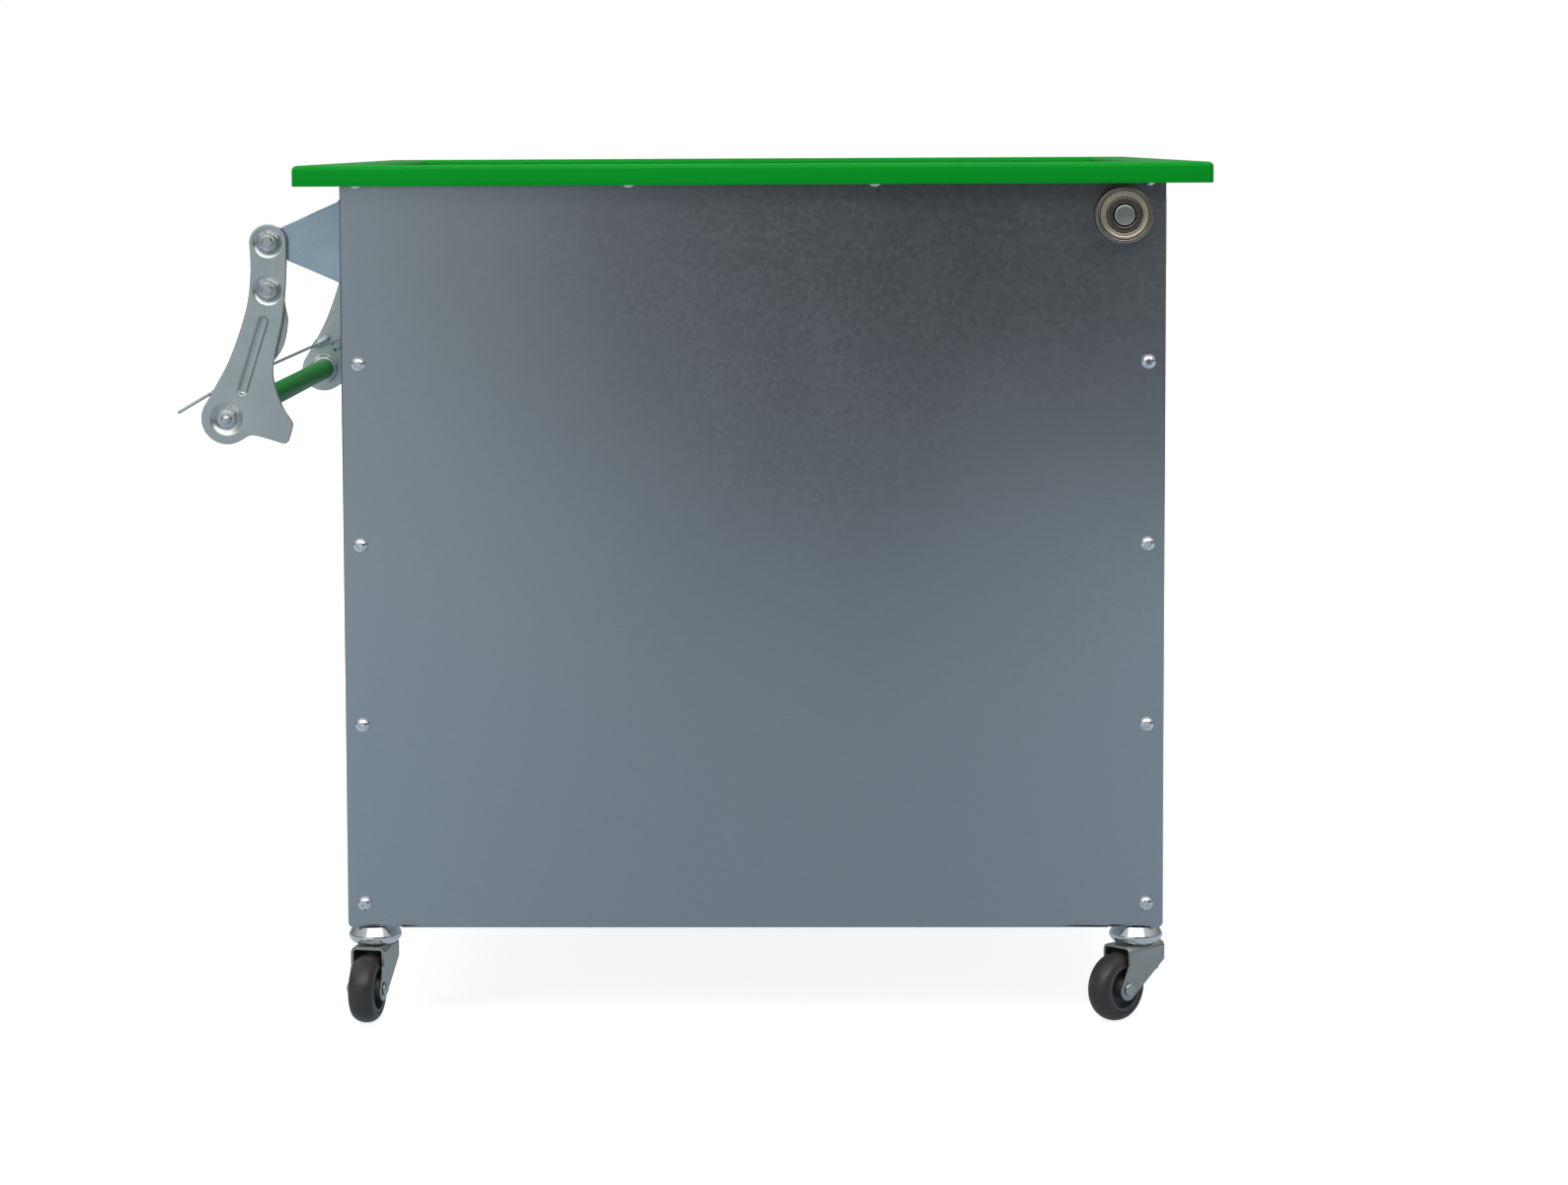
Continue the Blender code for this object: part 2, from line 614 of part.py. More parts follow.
def handle_arm(place, side, pivot):
    """A pressed arm: three dished bolt seats and a stiffening rib, all pressed towards the inside."""
    middle = side * (ARM_OUTSIDE - ARM_SHEET / 2)
    outside = side * ARM_OUTSIDE
    arm = plate(f"handle_arm_{place}", arm_outline(), ARM_SHEET, ZINC, pivot, (0, middle, 0), solid=True)
    seats = (((0.0, 0.0), DISH_RADIUS), (LATCH_PIVOT, DISH_RADIUS), (GRIP, GRIP_DISH_RADIUS))
    turn = outward(side)
    bosses = []
    dishes = []
    for number, (spot, radius) in enumerate(seats):
        spot_place = (spot[0], outside, spot[1])
        boss = [
            (0.0, -ARM_SHEET / 2),
            (radius + DISH_TAPER / 2, -ARM_SHEET / 2),
            (radius - DISH_TAPER / 2, -ARM_SHEET - DISH_DEPTH),
            (0.0, -ARM_SHEET - DISH_DEPTH),
        ]
        bosses.append(turned(f"boss_{place}_{number}", boss, None, SMALL_STEPS, pivot, spot_place, turn))
        bore = (BOLT_DIAMETER / 2 + BORE_GAP) / math.cos(math.pi / SMALL_STEPS)
        dish = [
            (0.0, DISH_DEPTH),
            (radius + DISH_TAPER / 2, DISH_DEPTH),
            (radius - DISH_TAPER, -DISH_DEPTH),
            (bore, -DISH_DEPTH),
            (bore, -3 * ARM_SHEET - DISH_DEPTH),
            (0.0, -3 * ARM_SHEET - DISH_DEPTH),
        ]
        dishes.append(turned(f"dish_{place}_{number}", dish, None, SMALL_STEPS, pivot, spot_place, turn))
    groove_radius = ((RIB_WIDTH / 2) ** 2 + RIB_DEPTH**2) / (2 * RIB_DEPTH)
    depth = outside + side * (groove_radius - RIB_DEPTH)
    ridge = capsule(f"ridge_{place}", RIB_START, RIB_END, groove_radius + ARM_SHEET, depth, pivot)
    trim_low = (-FLANGE, min(middle, middle + side * FLANGE), GRIP[1])
    trim_high = (FLANGE, max(middle, middle + side * FLANGE), 0.0)
    trim = add_piece(f"ridge_{place}_trim", box_mesh("trim", trim_low, trim_high), None, pivot)
    boolean(ridge, "DIFFERENCE", [trim])
    groove = capsule(f"groove_{place}", RIB_START, RIB_END, groove_radius, depth, pivot)
    boolean(arm, "UNION", [*bosses, ridge])
    return boolean(arm, "DIFFERENCE", [*dishes, groove])


def hex_bolt(name, across, head, shank, length, material, parent, place, turn):
    """A bolt whose head sits under place and whose shank runs up local Z from it."""
    made = hexagon(name, across, -head, 0.0, material, parent, place, turn)
    profile = [(0.0, length), (shank / 2, length), (shank / 2, -head / 2), (0.0, -head / 2)]
    stem = turned(f"{name}_stem", profile, None, BOLT_STEPS, parent, place, turn)
    return boolean(made, "UNION", [stem])


def lock_nut(name, material, parent, place, turn):
    """A nut with a round collar, seated at place and facing out along local Z."""
    made = hexagon(name, BOLT_HEAD_ACROSS, 0.0, NUT_HEIGHT, material, parent, place, turn)
    top = NUT_HEIGHT + NUT_COLLAR_HEIGHT
    rim = NUT_COLLAR_DIAMETER / 2
    profile = [(0.0, top), (rim, top), (rim, NUT_HEIGHT / 2), (0.0, NUT_HEIGHT / 2)]
    collar = turned(f"{name}_collar", profile, None, BOLT_STEPS, parent, place, turn)
    boolean(made, "UNION", [collar])
    drill = drilled(f"{name}_drill", BOLT_DIAMETER, FLANGE, parent, place, turn, BOLT_STEPS)
    return boolean(made, "DIFFERENCE", [drill])


def domed_hexagon(name, parent, place, turn):
    """A hexagon with a dome on its outer end, seated at place."""
    made = hexagon(name, BOLT_HEAD_ACROSS, 0.0, NUT_HEIGHT, BRIGHT_STEEL, parent, place, turn)
    rim = CAP_DOME_DIAMETER / 2
    dome = [(rim * math.sin(a), NUT_HEIGHT + CAP_DOME_HEIGHT * math.cos(a)) for a in
            (math.radians(90 * i / 4) for i in range(5))]
    profile = [*dome, (rim, NUT_HEIGHT / 2), (0.0, NUT_HEIGHT / 2)]
    cap = turned(f"{name}_cap", profile, None, BOLT_STEPS, parent, place, turn)
    return boolean(made, "UNION", [cap])


def hook_outline():
    """The latch hook's outline: its eye on the latch pivot, its belly and its swept tail."""
    eye = arc(LATCH_PIVOT, HOOK_EYE, -20, 200, 10)
    tail = arc(HOOK_TAIL, HOOK_TAIL_RADIUS, 130, 290, 6)
    back = smooth_run([eye[-1], *HOOK_BACK, tail[0]])
    belly = smooth_run([tail[-1], *HOOK_BELLY, eye[0]])
    return [*eye, *back, *tail, *belly]


def latch_hook(place, side, pivot):
    middle = side * (LINK_OUTSIDE - HOOK_SHEET / 2)
    outline = [(x - LATCH_PIVOT[0], z - LATCH_PIVOT[1]) for x, z in hook_outline()]
    hook = plate(f"latch_hook_{place}", outline, HOOK_SHEET, ZINC, pivot, (0, middle, 0), solid=True)
    drill = drilled(f"latch_hook_{place}_drill", BOLT_DIAMETER, FLANGE, pivot, (0, middle, 0), UPRIGHT)
    return boolean(hook, "DIFFERENCE", [drill])


def rounded_path(points, radius, steps=4):
    """The path through points with each inner corner rounded."""
    path = [points[0]]
    for before, corner, after in zip(points, points[1:], points[2:]):
        enter = corner + (before - corner).normalized() * radius
        leave = corner + (after - corner).normalized() * radius
        for i in range(steps + 1):
            t = i / steps
            path.append(enter * (1 - t) ** 2 + corner * 2 * t * (1 - t) + leave * t * t)
    return [*path, points[-1]]


def finger_direction():
    angle = math.radians(FINGER_ANGLE)
    return Vector((math.cos(angle), 0.0, math.sin(angle)))


def trigger_wire(pivot):
    """The wire that joins the hook tails: its near end is bent out as a finger, its far end up the hook."""
    tail = Vector((HOOK_TAIL[0] - LATCH_PIVOT[0], 0.0, HOOK_TAIL[1] - LATCH_PIVOT[1]))
    near = tail + Vector((0.0, -WIRE_Y, 0.0))
    far = tail + Vector((0.0, SLEEVE_Y, 0.0))
    lean = finger_direction()
    ends = [near + lean * FINGER_LENGTH, near, far, far - lean * FAR_FINGER_LENGTH]
    path = rounded_path(ends, WIRE_BEND)
    curve = bpy.data.curves.new("trigger_wire", "CURVE")
    curve.dimensions = "3D"
    curve.bevel_depth = WIRE_DIAMETER / 2
    curve.bevel_resolution = 2
    curve.use_fill_caps = True
    spline = curve.splines.new("POLY")
    spline.points.add(len(path) - 1)
    for point, spot in zip(spline.points, path):
        point.co = (*spot, 1.0)
    add_piece("trigger_wire", curve, ZINC, pivot)

    bore = WIRE_DIAMETER / 2 + GAP
    outer = SLEEVE_DIAMETER / 2
    pitch = SLEEVE_LENGTH / SLEEVE_RIBS
    profile = []
    for i in range(SLEEVE_RIBS):
        top = SLEEVE_LENGTH - i * pitch
        profile += [(outer - SLEEVE_GROOVE, top), (outer, top - pitch * 0.3), (outer, top - pitch * 0.7)]
    profile += [(outer - SLEEVE_GROOVE, 0.0), (bore, 0.0), (bore, SLEEVE_LENGTH)]
    place = far - lean * SLEEVE_START
    turn = (0.0, math.atan2(-lean.x, -lean.z), 0.0)
    turned("wire_sleeve", profile, BRIGHT_STEEL, BOLT_STEPS, pivot, place, turn, ring=True)


def grip_tube(pivot):
    """The green tube between the arms, clamped by a long domed bolt and a domed nut."""
    spot = (GRIP[0], 0.0, GRIP[1])
    outer = TUBE_DIAMETER / 2
    inner = outer - TUBE_WALL
    half = BOSS_FACE - GAP
    profile = [(inner, half), (outer, half), (outer, -half), (inner, -half)]
    turned("handle_tube", profile, GREEN_PAINT, ROUND_STEPS, pivot, spot, UPRIGHT, ring=True)
    seat = ARM_OUTSIDE - DISH_DEPTH + GAP
    near_place = (GRIP[0], -seat, GRIP[1])
    far_place = (GRIP[0], seat, GRIP[1])
    bolt = domed_hexagon("handle_grip_bolt", pivot, near_place, outward(-1))
    radius = BOLT_DIAMETER / 2
    length = 2 * seat + CAP_BORE_DEPTH - GAP
    rod = [(0.0, NUT_HEIGHT / 2), (radius, NUT_HEIGHT / 2), (radius, -length), (0.0, -length)]
    stem = turned("handle_grip_bolt_stem", rod, None, BOLT_STEPS, pivot, near_place, outward(-1))
    boolean(bolt, "UNION", [stem])
    nut = domed_hexagon("handle_cap_nut", pivot, far_place, outward(1))
    bore = 2 * CAP_BORE_DEPTH
    drill = drilled("handle_cap_nut_drill", BOLT_DIAMETER, bore, pivot, far_place, outward(1), BOLT_STEPS)
    boolean(nut, "DIFFERENCE", [drill])


def handle():
    """The swinging handle with its brackets, bolts and latch."""
    pivot = joint_empty("handle_pivot", (PIVOT_X, 0.0, PIVOT_Z))
    latch = joint_empty("latch_pivot", (LATCH_PIVOT[0], 0.0, LATCH_PIVOT[1]), pivot)
    seat = ARM_OUTSIDE - DISH_DEPTH + GAP
    nut_top = seat + NUT_HEIGHT + NUT_COLLAR_HEIGHT + BOLT_PROUD
    for place, side in SIDES.items():
        bracket(place, side, pivot)
        handle_arm(place, side, pivot)
        latch_hook(place, side, latch)
        turn = outward(side)
        for name, parent, sheet in (("pivot", pivot, BRACKET_SHEET), ("latch", latch, HOOK_SHEET)):
            under = LINK_OUTSIDE - sheet - GAP
            hex_bolt(
                f"{name}_bolt_{place}", BOLT_HEAD_ACROSS, BOLT_HEAD_HEIGHT, BOLT_DIAMETER,
                nut_top - under, ZINC, parent, (0, side * under, 0), turn,
            )
            lock_nut(f"{name}_nut_{place}", BRIGHT_STEEL, parent, (0, side * seat, 0), turn)
    grip_tube(pivot)
    trigger_wire(latch)


def fork_mesh():
    """A castor fork: a folded U cut to the leg's side outline, drilled for the axle and the swivel."""
    top = CASTOR_HEIGHT - GAP - HEAD_HEIGHT - SWIVEL_GAP
    axle_z = WHEEL_DIAMETER / 2
    half_in = FORK_GAP / 2
    half_out = half_in + FORK_SHEET
    bend_in = FORK_BEND - FORK_SHEET
    foot = -axle_z
    fold_right = (half_out - FORK_BEND, top - FORK_BEND)
    fold_left = (FORK_BEND - half_out, top - FORK_BEND)
    section = [(half_out, foot), *arc(fold_right, FORK_BEND, 0, 90, BEND_STEPS)]
    section += [*arc(fold_left, FORK_BEND, 90, 180, BEND_STEPS), (-half_out, foot), (-half_in, foot)]
    section += arc(fold_left, bend_in, 180, 90, BEND_STEPS)
    section += [*arc(fold_right, bend_in, 90, 0, BEND_STEPS), (half_in, foot)]
    depth = 4 * (FORK_FRONT + FORK_BACK + WHEEL_TRAIL)
    fork = plate("fork", section, depth, FORK_STEEL, solid=True)

    eye = arc((-WHEEL_TRAIL, axle_z), FORK_EYE_RADIUS, 180, 318, 6)
    side = [(FORK_FRONT, 2 * top), (-FORK_BACK, 2 * top), (-FORK_BACK, top - FORK_SHOULDER), *eye]
    side.append((FORK_FRONT, top - FORK_SHOULDER))
    legs = plate("fork_legs", side, 4 * half_out, None, turn=(math.pi / 2, 0.0, math.pi / 2), solid=True)
    boolean(fork, "INTERSECT", [legs])
    across = (0.0, math.pi / 2, 0.0)
    axle = drilled("fork_axle_drill", AXLE_DIAMETER, 4 * half_out, None, (0, -WHEEL_TRAIL, axle_z), across)
    swivel = drilled("fork_swivel_drill", CASTOR_BOLT_DIAMETER, HEAD_HEIGHT, None, (0, 0, top))
    boolean(fork, "DIFFERENCE", [axle, swivel])
    return finished_mesh(fork)


def castor_head(name, parent):
    """The fixed swivel head: a domed cup with the ball race pressed inside it."""
    top = CASTOR_HEIGHT - GAP
    rim = HEAD_DIAMETER / 2
    bore = CASTOR_BOLT_DIAMETER / 2 + BORE_GAP
    low = top - HEAD_HEIGHT
    flat = rim - HEAD_SHOULDER
    rise = HEAD_HEIGHT * 0.8
    shoulder = [(flat + HEAD_SHOULDER * math.sin(a), low + (HEAD_HEIGHT - rise) + rise * math.cos(a))
                for a in (math.radians(90 * i / 4) for i in range(5))]
    profile = [(bore, top), *shoulder, (rim, low), (bore, low)]
    return turned(name, profile, BRIGHT_STEEL, HUB_STEPS, parent, ring=True)


def wheel(corner, axle):
    """The wheel's hub and tyre on the axle's empty, turned about the axle."""
    across = (0.0, math.pi / 2, 0.0)
    outside = WHEEL_DIAMETER / 2
    half = TYRE_WIDTH / 2
    core = outside - TYRE_THICKNESS
    bead = half - TREAD_CROWN
    tread = arc((outside - TREAD_CROWN, bead), TREAD_CROWN, 90, 0, 2)
    tread += arc((outside - TREAD_CROWN, -bead), TREAD_CROWN, 0, -90, 2)
    tyre = [(core, half), *[(r, z) for r, z in tread], (core, -half)]
    turned(f"castor_{corner}_tyre", tyre, TYRE_RUBBER, ROUND_STEPS, axle, turn=across, ring=True)
    bore = AXLE_DIAMETER / 2 + BORE_GAP
    boss = HUB_BOSS_DIAMETER / 2
    rim = core - GAP
    lip = rim - HUB_RIM
    boss_half = FORK_GAP / 2 - GAP
    web = HUB_WEB / 2
    hub = [
        (bore, boss_half), (boss, boss_half), (boss, web), (lip, web), (lip, half), (rim, half),
        (rim, -half), (lip, -half), (lip, -web), (boss, -web), (boss, -boss_half), (bore, -boss_half),
    ]
    turned(f"castor_{corner}_hub", hub, HUB_PLASTIC, HUB_STEPS, axle, turn=across, ring=True)


def axle_rivet(corner, axle):
    """The rivet through the fork's legs, with a low domed head on each side."""
    radius = AXLE_DIAMETER / 2
    head = AXLE_HEAD_DIAMETER / 2
    seat = FORK_GAP / 2 + FORK_SHEET + GAP
    top = seat + AXLE_HEAD_HEIGHT
    crown = head * 0.6
    profile = [
        (0.0, top), (crown, top), (head, seat + AXLE_HEAD_HEIGHT / 2), (head, seat), (radius, seat),
        (radius, -seat), (head, -seat), (head, -seat - AXLE_HEAD_HEIGHT / 2), (crown, -top), (0.0, -top),
    ]
    turned(f"castor_{corner}_axle", profile, ZINC, BOLT_STEPS, axle, turn=(0.0, math.pi / 2, 0.0))


def castors():
    """Four swivel castors bolted through the box's bottom flanges; returns the bolts' drills."""
    fork = fork_mesh()
    drills = []
    for corner, heading in CASTOR_HEADINGS.items():
        hand = -1 if "left" in corner else 1
        side = -1 if "front" in corner else 1
        x = BOX_X + hand * (BOX_WIDTH / 2 - CASTOR_INSET)
        y = side * (BOX_DEPTH / 2 - CASTOR_INSET)
        swivel = joint_empty(f"castor_{corner}_swivel", (x, y, 0.0), turn_z=heading)
        axle = joint_empty(f"castor_{corner}_axle_line", (0.0, -WHEEL_TRAIL, WHEEL_DIAMETER / 2), swivel)
        castor_head(f"castor_{corner}_head", swivel)
        add_piece(f"castor_{corner}_fork", fork.copy(), FORK_STEEL, swivel)
        wheel(corner, axle)
        axle_rivet(corner, axle)
        collar_top = CASTOR_HEIGHT - GAP - HEAD_HEIGHT - SWIVEL_GAP - FORK_SHEET - SWIVEL_GAP
        collar_low = collar_top - CASTOR_COLLAR_HEIGHT
        seat = FLOOR_TOP + GAP
        bolt = hexagon(
            f"castor_{corner}_bolt", CASTOR_BOLT_ACROSS, seat, seat + CASTOR_BOLT_HEAD,
            ZINC, swivel, (0, 0, 0), (0, 0, 0),
        )
        shank = CASTOR_BOLT_DIAMETER / 2
        collar = CASTOR_COLLAR_DIAMETER / 2
        stem = [
            (0.0, seat + CASTOR_BOLT_HEAD / 2), (shank, seat + CASTOR_BOLT_HEAD / 2), (shank, collar_top),
            (collar, collar_top), (collar, collar_low), (0.0, collar_low),
        ]
        boolean(bolt, "UNION", [turned(f"castor_{corner}_stem", stem, None, BOLT_STEPS, swivel)])
        drills.append(
            drilled(f"castor_{corner}_drill", CASTOR_BOLT_DIAMETER, FLANGE, None, (x, y, BOX_BOTTOM))
        )
    return drills


def build():
    walls = {"left": side_wall("left_wall", -1), "right": side_wall("right_wall", 1)}
    panels = {place: long_panel(f"{place}_panel", side) for place, side in SIDES.items()}
    floor = floor_sheet()
    rim_lengths()
    for place, side in SIDES.items():
        shaft_drill = guide_roller(place, side)
        boolean(panels[place], "DIFFERENCE", [shaft_drill])
        boolean(walls["right"], "DIFFERENCE", [shaft_drill])
    handle()
    drills = castors()
    boolean(floor, "DIFFERENCE", drills)
    for hand, wall in walls.items():
        boolean(wall, "DIFFERENCE", [drill for drill in drills if hand in drill.name])


build()
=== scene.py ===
"""Finished looks of a wheeled collecting bin.

A galvanised box with a green folded rim, a ball bearing as guide roller on each long side,
a pressed two-arm handle with a squeeze latch, and four small swivel castors.
"""

import json
import math

import bmesh
import bpy
from mathutils import Matrix, Vector

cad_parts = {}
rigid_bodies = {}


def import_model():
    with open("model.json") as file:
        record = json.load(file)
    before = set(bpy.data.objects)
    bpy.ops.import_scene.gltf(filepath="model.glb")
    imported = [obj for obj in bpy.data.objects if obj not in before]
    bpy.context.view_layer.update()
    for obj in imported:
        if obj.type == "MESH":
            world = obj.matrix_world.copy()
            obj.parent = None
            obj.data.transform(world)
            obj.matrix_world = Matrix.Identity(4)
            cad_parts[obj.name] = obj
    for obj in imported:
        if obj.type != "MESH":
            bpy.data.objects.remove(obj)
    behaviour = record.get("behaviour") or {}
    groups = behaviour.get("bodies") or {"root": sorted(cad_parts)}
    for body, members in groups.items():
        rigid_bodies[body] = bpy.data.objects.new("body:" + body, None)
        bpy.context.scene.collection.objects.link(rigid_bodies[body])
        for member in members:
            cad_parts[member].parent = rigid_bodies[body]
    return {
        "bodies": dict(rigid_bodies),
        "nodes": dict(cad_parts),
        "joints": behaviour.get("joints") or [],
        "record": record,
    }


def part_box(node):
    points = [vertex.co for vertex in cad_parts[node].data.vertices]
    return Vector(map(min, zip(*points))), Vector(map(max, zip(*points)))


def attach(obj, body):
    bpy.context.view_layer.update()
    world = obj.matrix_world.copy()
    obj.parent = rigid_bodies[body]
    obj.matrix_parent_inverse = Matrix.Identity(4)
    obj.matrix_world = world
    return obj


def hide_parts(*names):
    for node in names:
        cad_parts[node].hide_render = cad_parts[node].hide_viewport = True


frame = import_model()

bl_info = {
    "name": "Wheeled Collecting Bin",
    "version": (1, 0, 0),
    "blender": (4, 5, 0),
    "location": "View3D > Sidebar > Bin",
    "description": "Dresses the jointed frame of a wheeled collecting bin with its finished pieces",
    "category": "Object",
}

MM = 0.001
SIDES = {"near": -1, "far": 1}
RIM_SIDES = ("near", "right", "far", "left")
CORNERS = ("front_left", "front_right", "rear_left", "rear_right")


def clear_startup():
    """Removes whatever the start-up file holds beside the frame."""
    kept = {*frame["nodes"].values(), *frame["bodies"].values()}
    for thing in [o for o in bpy.data.objects if o not in kept]:
        bpy.data.objects.remove(thing)


clear_startup()
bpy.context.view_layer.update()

# Places that the frame gives
JOINTS = {joint["name"]: joint for joint in frame["joints"]}
BODY_OF = {node: body for body, nodes in frame["record"]["behaviour"]["bodies"].items() for node in nodes}
PANEL_LOW, PANEL_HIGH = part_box("near_panel")
RIM_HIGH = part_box("rim_right")[1]
TUBE_LOW, TUBE_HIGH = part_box("handle_tube")
HEAD_LOW, HEAD_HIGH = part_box("castor_front_left_head")
CASTOR_BOLT_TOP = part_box("castor_front_left_bolt")[1].z
BOX_X = (PANEL_LOW.x + PANEL_HIGH.x) / 2
PANEL_FACE = -PANEL_LOW.y
BOX_HALF = BOX_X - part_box("left_wall")[0].x
PIVOT = Vector(JOINTS["handle_swing"]["pos_m"])
LATCH = Vector(JOINTS["latch_squeeze"]["pos_m"])
LATCH_SPOT = (LATCH.x - PIVOT.x, LATCH.z - PIVOT.z)
ARM_FACE = -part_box("handle_arm_near")[0].y
NUT_SEAT = -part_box("pivot_nut_near")[1].y

# The pressed arm's outline: (across, up) from the handle pivot
ARM_TOP_RADIUS = 13.7 * MM
GRIP = (-31.9 * MM, -128.9 * MM)
GRIP_END_RADIUS = 19.2 * MM
GRIP_ARC = (152, 300)
ARM_OUTER_EDGE = ((-13.2, -21.0), (-16.8, -48.4), (-28.8, -83.3), (-41.6, -107.5))
ARM_LOWER_EDGE = ((-14.0, -141.6), (-2.0, -144.2), (9.5, -147.6))
ARM_NOSE = ((13.4, -145.8), (15.0, -141.0), (16.7, -134.5), (16.1, -131.0))
ARM_INNER_EDGE = ((8.1, -117.0), (2.7, -92.8), (10.1, -55.2), (13.1, -26.9))
RIB_START = (-4.0 * MM, -57.5 * MM)
RIB_END = (-20.0 * MM, -108.0 * MM)

# The latch hook's outline: (across, up) from the handle pivot
HOOK_EYE = 11.5 * MM
HOOK_EYE_ARC = (-20, 200)
HOOK_TAIL = (-38.5 * MM, -107.0 * MM)
HOOK_TAIL_RADIUS = 3.0 * MM
HOOK_TAIL_ARC = (130, 290)
HOOK_BELLY = ((-22.0, -104.5), (-7.0, -96.5), (8.3, -78.8), (13.1, -59.2), (11.7, -48.0))
HOOK_BACK = ((-12.5, -48.0), (-16.0, -64.0), (-23.5, -83.0))

# How finely round forms are divided
ROUND = 72
SMALL_ROUND = 36
HEX_STEPS = 60
ARC_STEPS = 20
RUN_STEPS = 8
BEND_STEPS = 8
INNER_BEND_STEPS = 5
CORNER_STEPS = 6
SLOT_STEPS = 12
DOME_STEPS = 12
TREAD_STEPS = 14

# Mesh rules: welding, the share of an edge that a rounding may take, creases in degrees, and
# which faces are shaded flat
WELD = 1e-6
EASE_SHARE = 0.49
CREASE = 35.0
SOFT_CREASE = 50.0
ROUND_CREASE = 60.0
FLAT_ANGLE = 0.5
LEVEL_FACE = 0.9999
BROAD_FACE = 40 * MM * MM

# Roundings of the cut edges, and how far the rim's leg stands inside the box
BOX_EDGE = 0.3 * MM
FORK_EDGE = 0.45 * MM
BRACKET_EDGE = 0.5 * MM
RIM_EDGE = 0.45 * MM
RIM_LEG_OFFSET = 1.8 * MM

# A plate's edge: a loop that holds its flat face, and the middle of its rounding
EDGE_SUPPORT = 1.8
EDGE_MIDDLE = 0.29
HOOK_EDGE = 0.5 * MM

# Pressings: margins on the front and the back, and the rounding of each
DISH_MARGIN = 1.4 * MM
DISH_BACK_MARGINS = (1.7 * MM, 0.6 * MM)
DISH_EASE = 1.8 * MM
DISH_BACK_EASE = 1.0 * MM
RIB_MARGIN = 1.0 * MM
RIB_BACK_MARGINS = (1.8 * MM, 0.8 * MM)
RIB_FLOORS = (0.55, 0.8)
RIB_MIDDLE = 0.2 * MM
RIB_EASE = 0.9 * MM
RIB_BACK_EASE = 1.2 * MM
HOLE_MARGIN = 0.9 * MM
HOLE_BREAK = 0.4 * MM

# Hexagons: turned corners as shares of half the width, with their distance from either end
HEX_CORNER = 1.06
HEX_FOOT = ((0.97, 0.0), (1.0, 0.1), (HEX_CORNER, 1.0))
HEX_TOP = ((HEX_CORNER, 0.9 * MM), (1.01, 0.5 * MM), (0.97, 0.15 * MM), (0.93, 0.0))
HEX_CHAMFER = math.radians(30)

# Threads: the pitch, and shares of it
THREAD_PITCH = 1.25 * MM
THREAD_DEPTH = 0.45
THREAD_CREST = (0.4, 0.6)
THREAD_END = (0.5, 0.2, 1.5)

# Gaps and roundings of the fastenings, and of the wire, its sleeve and the tube
GAP = 0.3 * MM
BOLT_GAP = 0.2 * MM
HOOK_GAP = 0.1 * MM
STEM_SINK = 0.5 * MM
PLAIN_END = 12.0 * MM
THREAD_RUN = 11.5 * MM
NUT_LIFT = 0.1 * MM
NUT_BORE_GAP = 0.45 * MM
NUT_BORE_DEPTH = 1.0 * MM
COLLAR_FLARE = 0.5 * MM
COLLAR_TAPER = 0.3 * MM
EASE = 0.7 * MM
COLLAR_EASE = 0.6 * MM
DOME_EASE = 0.4 * MM
DOME_TIP = 0.15 * MM
WIRE_TIP = 0.55
WIRE_TIP_LENGTH = 0.6 * MM
SLEEVE_CREST = 0.6
BOLT_PROUD = 0.6 * MM
DOME_HEIGHT = 4.2 * MM
TUBE_WALL = 2.3 * MM
WIRE_BEND = 3.4 * MM
WIRE_FAR_END = 15.0 * MM
SLEEVE_START = 3.8 * MM
SLEEVE_GROOVE = 0.8 * MM

# The guide roller's shaft, backing plate, shield and rings
JOURNAL_GAP = 1.1 * MM
SHAFT_TIP = 0.3 * MM
BACKING = 4.0 * MM
BACKING_RADIUS = 19.0 * MM
BACKING_BORE = 6.0 * MM
SHAFT_EASE = 0.9 * MM
SHIELD_SEAT = 1.6 * MM
SHIELD_DROP = 0.4 * MM
SHIELD_POCKET = 1.4 * MM
SHIELD_GAPS = (0.5 * MM, 0.6 * MM)
SHIELD_STEP = 0.3 * MM
SHIELD_SLOPE = 0.7 * MM
SHIELD_SHEET = 0.6 * MM
SHIELD_EASE = 0.15 * MM
RACE_LAND = 1.8 * MM
RING_CHAMFER = 0.8 * MM
SHAFT_PROUD = 0.8 * MM

# A castor head's shoulder as (inset from its rim, share of its height) from the top down, and its lip
CUP_SHOULDER = ((3.2 * MM, 0.0), (0.2 * MM, 0.50), (0.0, 0.62), (1.6 * MM, 0.86))
CUP_LIP = (4.0 * MM, 5.2 * MM)
CUP_INSIDE = 6.0 * MM
CUP_RECESS = 1.5 * MM
CUP_EASE = 2.6 * MM

# The castors' bolts, forks, rivets, tyres and hubs
COLLAR_HEIGHT = 3.0 * MM
SWIVEL_GAP = 0.4 * MM
TREAD_CROWN = 6.2 * MM
HUB_WEB = 6.0 * MM
HUB_RIM = 3.0 * MM
RIVET_RISE = 2.2 * MM
WEB_OVERLAP = 0.5 * MM
WEB_CORNER = 3.0 * MM
RIVET_DIMPLE = (1.2 * MM, 2.0 * MM, 0.5 * MM)
RIVET_TOP = 0.62
RIVET_SIDE = 0.4
TREAD_TURN = 84
PARTING_LINE = (0.12 * MM, 0.35 * MM)
BOSS_TAPER = 0.4 * MM

